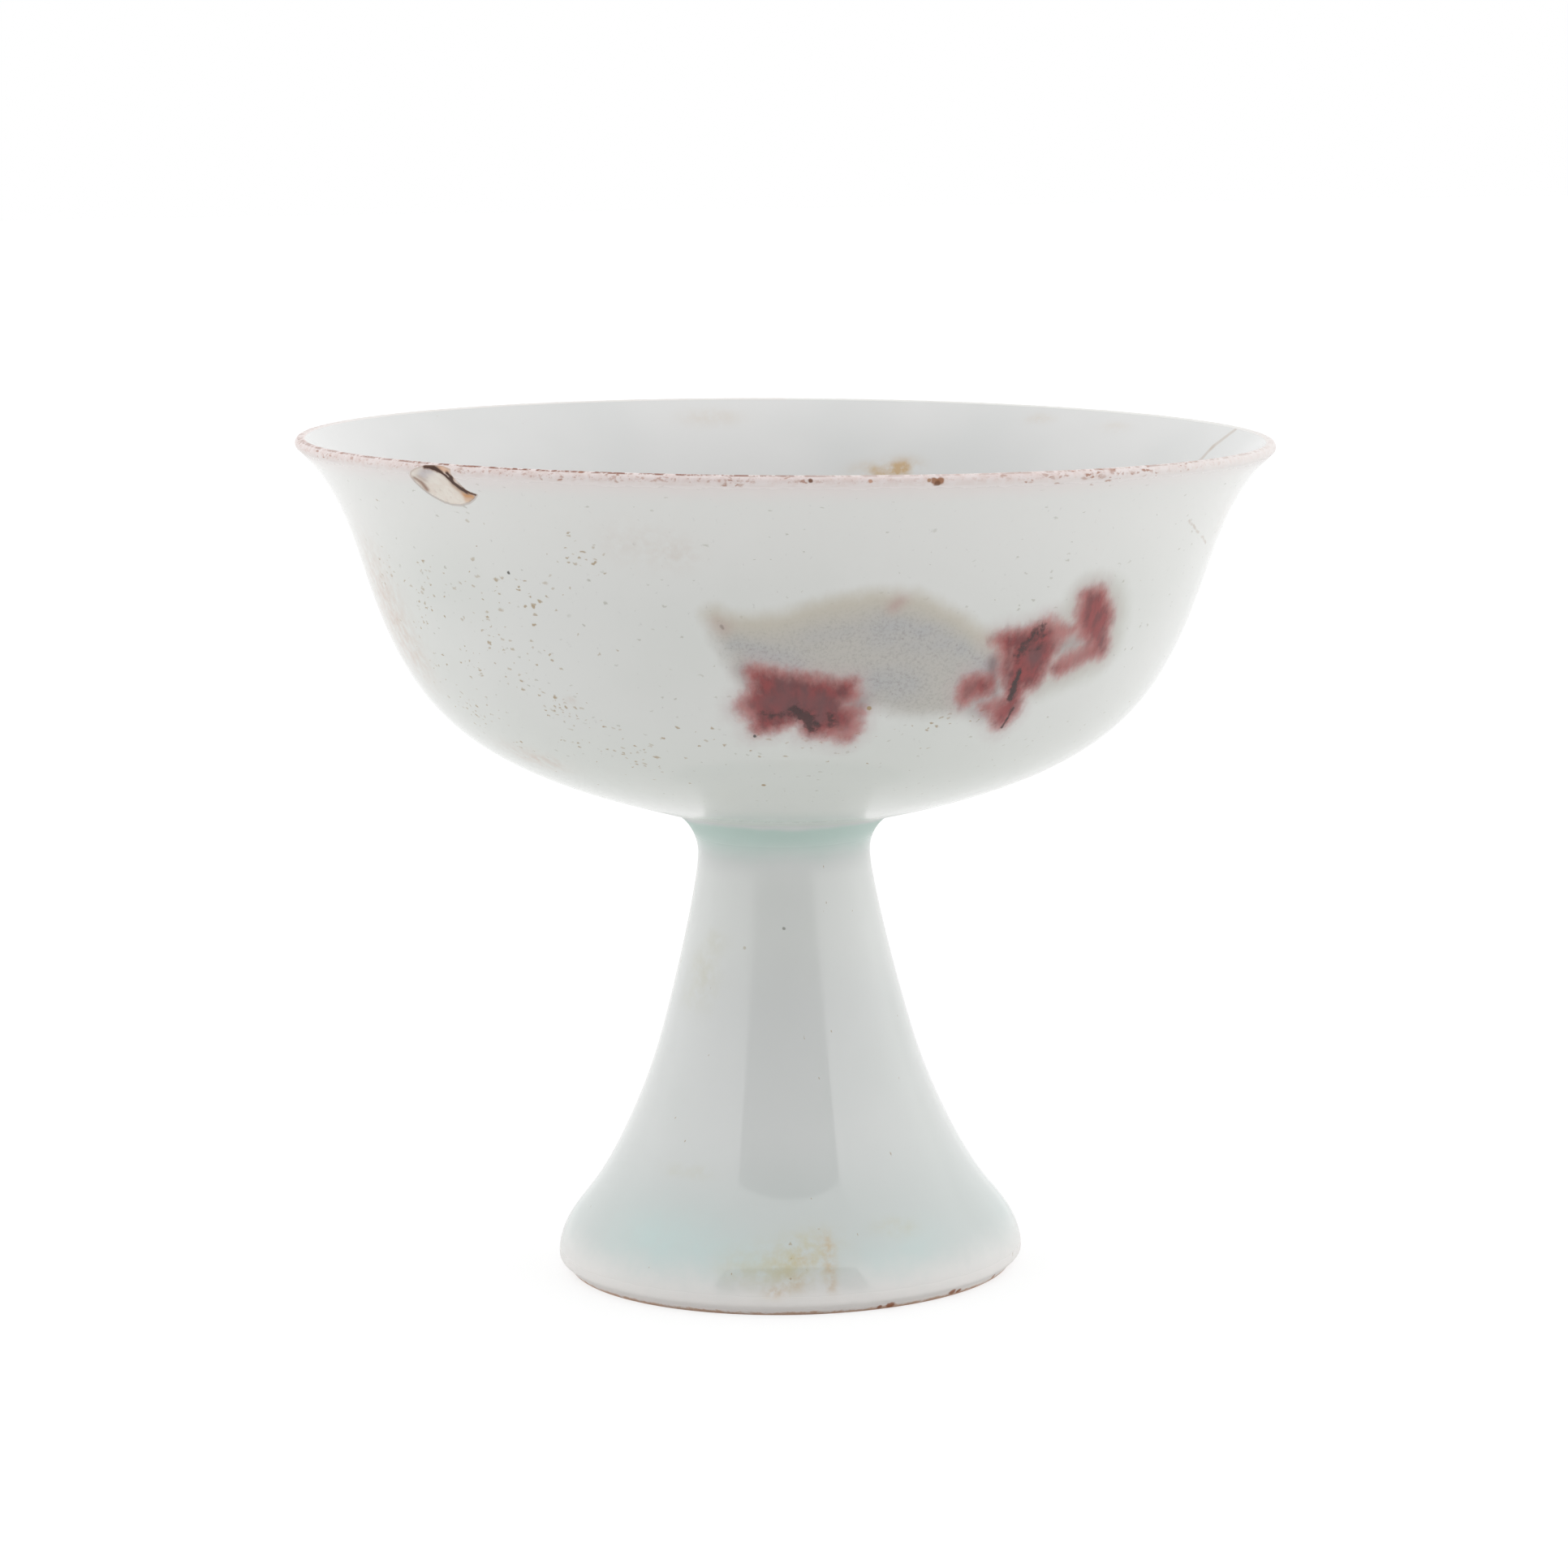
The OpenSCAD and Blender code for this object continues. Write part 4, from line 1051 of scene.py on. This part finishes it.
def make_stem():
    """Stem of clay with its socket, its outer glaze, the pooled roll, the lining of its hollow and the
    slip."""
    outline = np.concatenate([stem_glazed, stem_clay_line[::-inner_step]])
    r, z = outline[:, :1], outline[:, 1:]
    fields = {"height": z, "stain": blots(r, z, stem_stains), "haze": blots(r, z, stem_haze),
              "pool": blots(r, z, foot_pools)}
    turned_piece("stem_glaze", outline, stem_glaze_material(), ("stem_outer_glaze",), fields,
                 len(stem_glazed))

    from_row = int(np.argmax(stem_line[:, 1] > stem_h - roll_h)) - 1
    outline = np.concatenate([stem_line[from_row:], stem_glazed[from_row + 1:-1][::-1]])
    turned_piece("neck_roll", outline, neck_material(), ("neck_glaze_roll",),
                 {"height": outline[:, 1:]}, len(stem_line) - from_row)

    slip_z, socket_r = seat[1] - slip_t, tenon_r + slip_t
    clay_r, clay_z = stem_clay_line.T
    slip_edge = [np.interp(slip_z, clay_z, clay_r), slip_z]
    socket = [slip_edge, [socket_r, slip_z], [socket_r, socket_z], [0, socket_z]]
    rim = chain(straight(bore_edge, base_edge, 8), straight(base_edge, bare_edge, 4))
    outline = np.concatenate([bore_line[::-1], straight(bore_start, bore_edge, 5)[1:-1], rim,
                              stem_clay_line[clay_z < slip_z][1:], socket])
    turned_piece("stem_clay", outline, stem_clay_material(), ("stem_body",),
                 {"radius": outline[:, :1]})

    outline = np.concatenate([[[0, bore_glaze_line[-1, 1]]], bore_glaze_line[::-1][1:], bore_line])
    turned_piece("bore_lining", outline, bore_material(), ("stem_bore_glaze",),
                 {"height": outline[:, 1:]})

    outline = np.concatenate([socket[::-1], stem_clay_line[clay_z > slip_z],
                              [[tenon_r, seat[1]], [tenon_r, tenon_z], [0, tenon_z]]])
    turned_piece("joint_slip", outline, slip_material(), ("luting_slip",))


make_bowl()
make_stem()

# Stage, in metres
floor_size, floor_glow, floor_share, gloss_share, floor_grey = 6.0, 1.15, 0.62, 0.45, 0.8
ambient, left_light, right_light, front_fill, fill_gap = 1.3, 0.11, 0.26, 0.2, 0.01
tent_x, tent_front, tent_back, tent_h, card_fade = 0.74, -0.95, 0.45, 1.02, 0.2


def new_sheet(name, corners, material):
    """A sheet between four corners."""
    mesh = bpy.data.meshes.new(name)
    mesh.from_pydata(corners, [], [(0, 1, 2, 3)])
    mesh.materials.append(material)
    return new_object(name, mesh)


def make_floor():
    """A white floor that keeps the cup's shadow: what the camera sees is mostly its own white."""
    nodes = new_material("floor_white")
    shader = nodes.feed_all(nodes.tree.nodes["Principled BSDF"], {
        "Base Color": (floor_grey, floor_grey, floor_grey, 1), "Roughness": 1.0, "Specular IOR Level": 0.0})
    ray = nodes.add("ShaderNodeLightPath")
    seen = nodes.math("MAXIMUM", ray["Is Camera Ray"], ray["Is Transmission Ray"])
    seen = ray["Is Glossy Ray"] * gloss_share + seen
    glow = nodes.add("ShaderNodeEmission", {}, Strength=floor_glow)["Emission"]
    mixed = nodes.make("ShaderNodeMixShader")
    for socket, value in zip(mixed.inputs, (seen * floor_share, Signal(nodes, shader.outputs[0]), glow)):
        nodes.feed(socket, value)
    nodes.feed(nodes.tree.nodes["Material Output"].inputs["Surface"], Signal(nodes, mixed.outputs[0]))
    half = floor_size / 2
    corners = [(-half, -half, 0), (half, -half, 0), (half, half, 0), (-half, half, 0)]
    floor = new_sheet("floor", corners, nodes.owner)


def make_front_card():
    """A dark card behind the camera, between the two side lights, which the stem reflects as a soft band.
    Near the floor it glows, fading out upwards: painted light, though the card is no lamp."""
    nodes = new_material("card_dark")
    height = nodes.add("ShaderNodeSeparateXYZ", {}, Vector=nodes.place((MM, MM, MM)))["Z"]
    nodes.feed_all(nodes.tree.nodes["Principled BSDF"], {
        "Base Color": (0, 0, 0, 1), "Specular IOR Level": 0.0, "Emission Color": (1, 1, 1, 1),
        "Emission Strength": height.ease(card_fade, 0.0)})
    corners = [(-tent_x, tent_front, 0), (tent_x, tent_front, 0), (tent_x, tent_front, tent_h),
               (-tent_x, tent_front, tent_h)]
    card = new_sheet("front_card", corners, nodes.owner)
    card.visible_camera = False


def softbox(name, middle, rotation, width, height, radiance):
    """An even rectangular light: its power is pi times its area times its radiance."""
    light = bpy.data.lights.new(name, "AREA")
    light.shape, light.size, light.size_y = "RECTANGLE", width, height
    light.energy = math.pi * width * height * radiance
    box = new_object(name, light)
    box.location, box.rotation_euler = middle, rotation
    box.visible_camera = False
    return box


def make_lights():
    """A light tent: a white surround, even lights at both sides of it, and a weak fill from the front."""
    depth, middle = tent_back - tent_front, (tent_back + tent_front) / 2
    up, quarter = tent_h / 2, math.pi / 2
    softbox("left_light", (-tent_x, middle, up), (quarter, 0, -quarter), depth, tent_h, left_light)
    softbox("right_light", (tent_x, middle, up), (quarter, 0, quarter), depth, tent_h, right_light)
    fill_place = (0, tent_front + fill_gap, up)
    fill = softbox("front_fill", fill_place, (quarter, 0, 0), 2 * tent_x, tent_h, front_fill)
    fill.visible_glossy = False
    world = bpy.data.worlds.new("white_surround")
    bpy.context.scene.world = world
    world.use_nodes = True
    nodes = Nodes(world.node_tree)
    ray = nodes.add("ShaderNodeLightPath")
    seen = nodes.math("MAXIMUM", ray["Is Camera Ray"], ray["Is Transmission Ray"])
    seen = nodes.math("MAXIMUM", seen, ray["Is Glossy Ray"])
    nodes.feed_all(world.node_tree.nodes["Background"], {
        "Color": (1, 1, 1, 1), "Strength": seen * (1 - ambient) + ambient})


# Camera, fitted to the photograph: distance and height in metres, angles in degrees
camera_x, camera_distance, camera_height, near_clip = 0.0001, 0.505, 0.12787, 0.01
camera_pitch, camera_roll, camera_lens, sensor = 8.724, -0.9, 113.48, 36.0


def make_camera():
    """A camera in front of the cup that looks a little down on it."""
    lens = bpy.data.cameras.new("camera")
    lens.lens, lens.sensor_width, lens.clip_start = camera_lens, sensor, near_clip
    camera = new_object("camera", lens)
    tilt = Matrix.Rotation(math.radians(90 - camera_pitch), 4, "X")
    roll = Matrix.Rotation(math.radians(camera_roll), 4, "Z")
    camera.matrix_world = Matrix.Translation((camera_x, -camera_distance, camera_height)) @ tilt @ roll
    bpy.context.scene.camera = camera


make_floor()
make_front_card()
make_lights()
make_camera()
bpy.context.scene.view_settings.view_transform = "Standard"
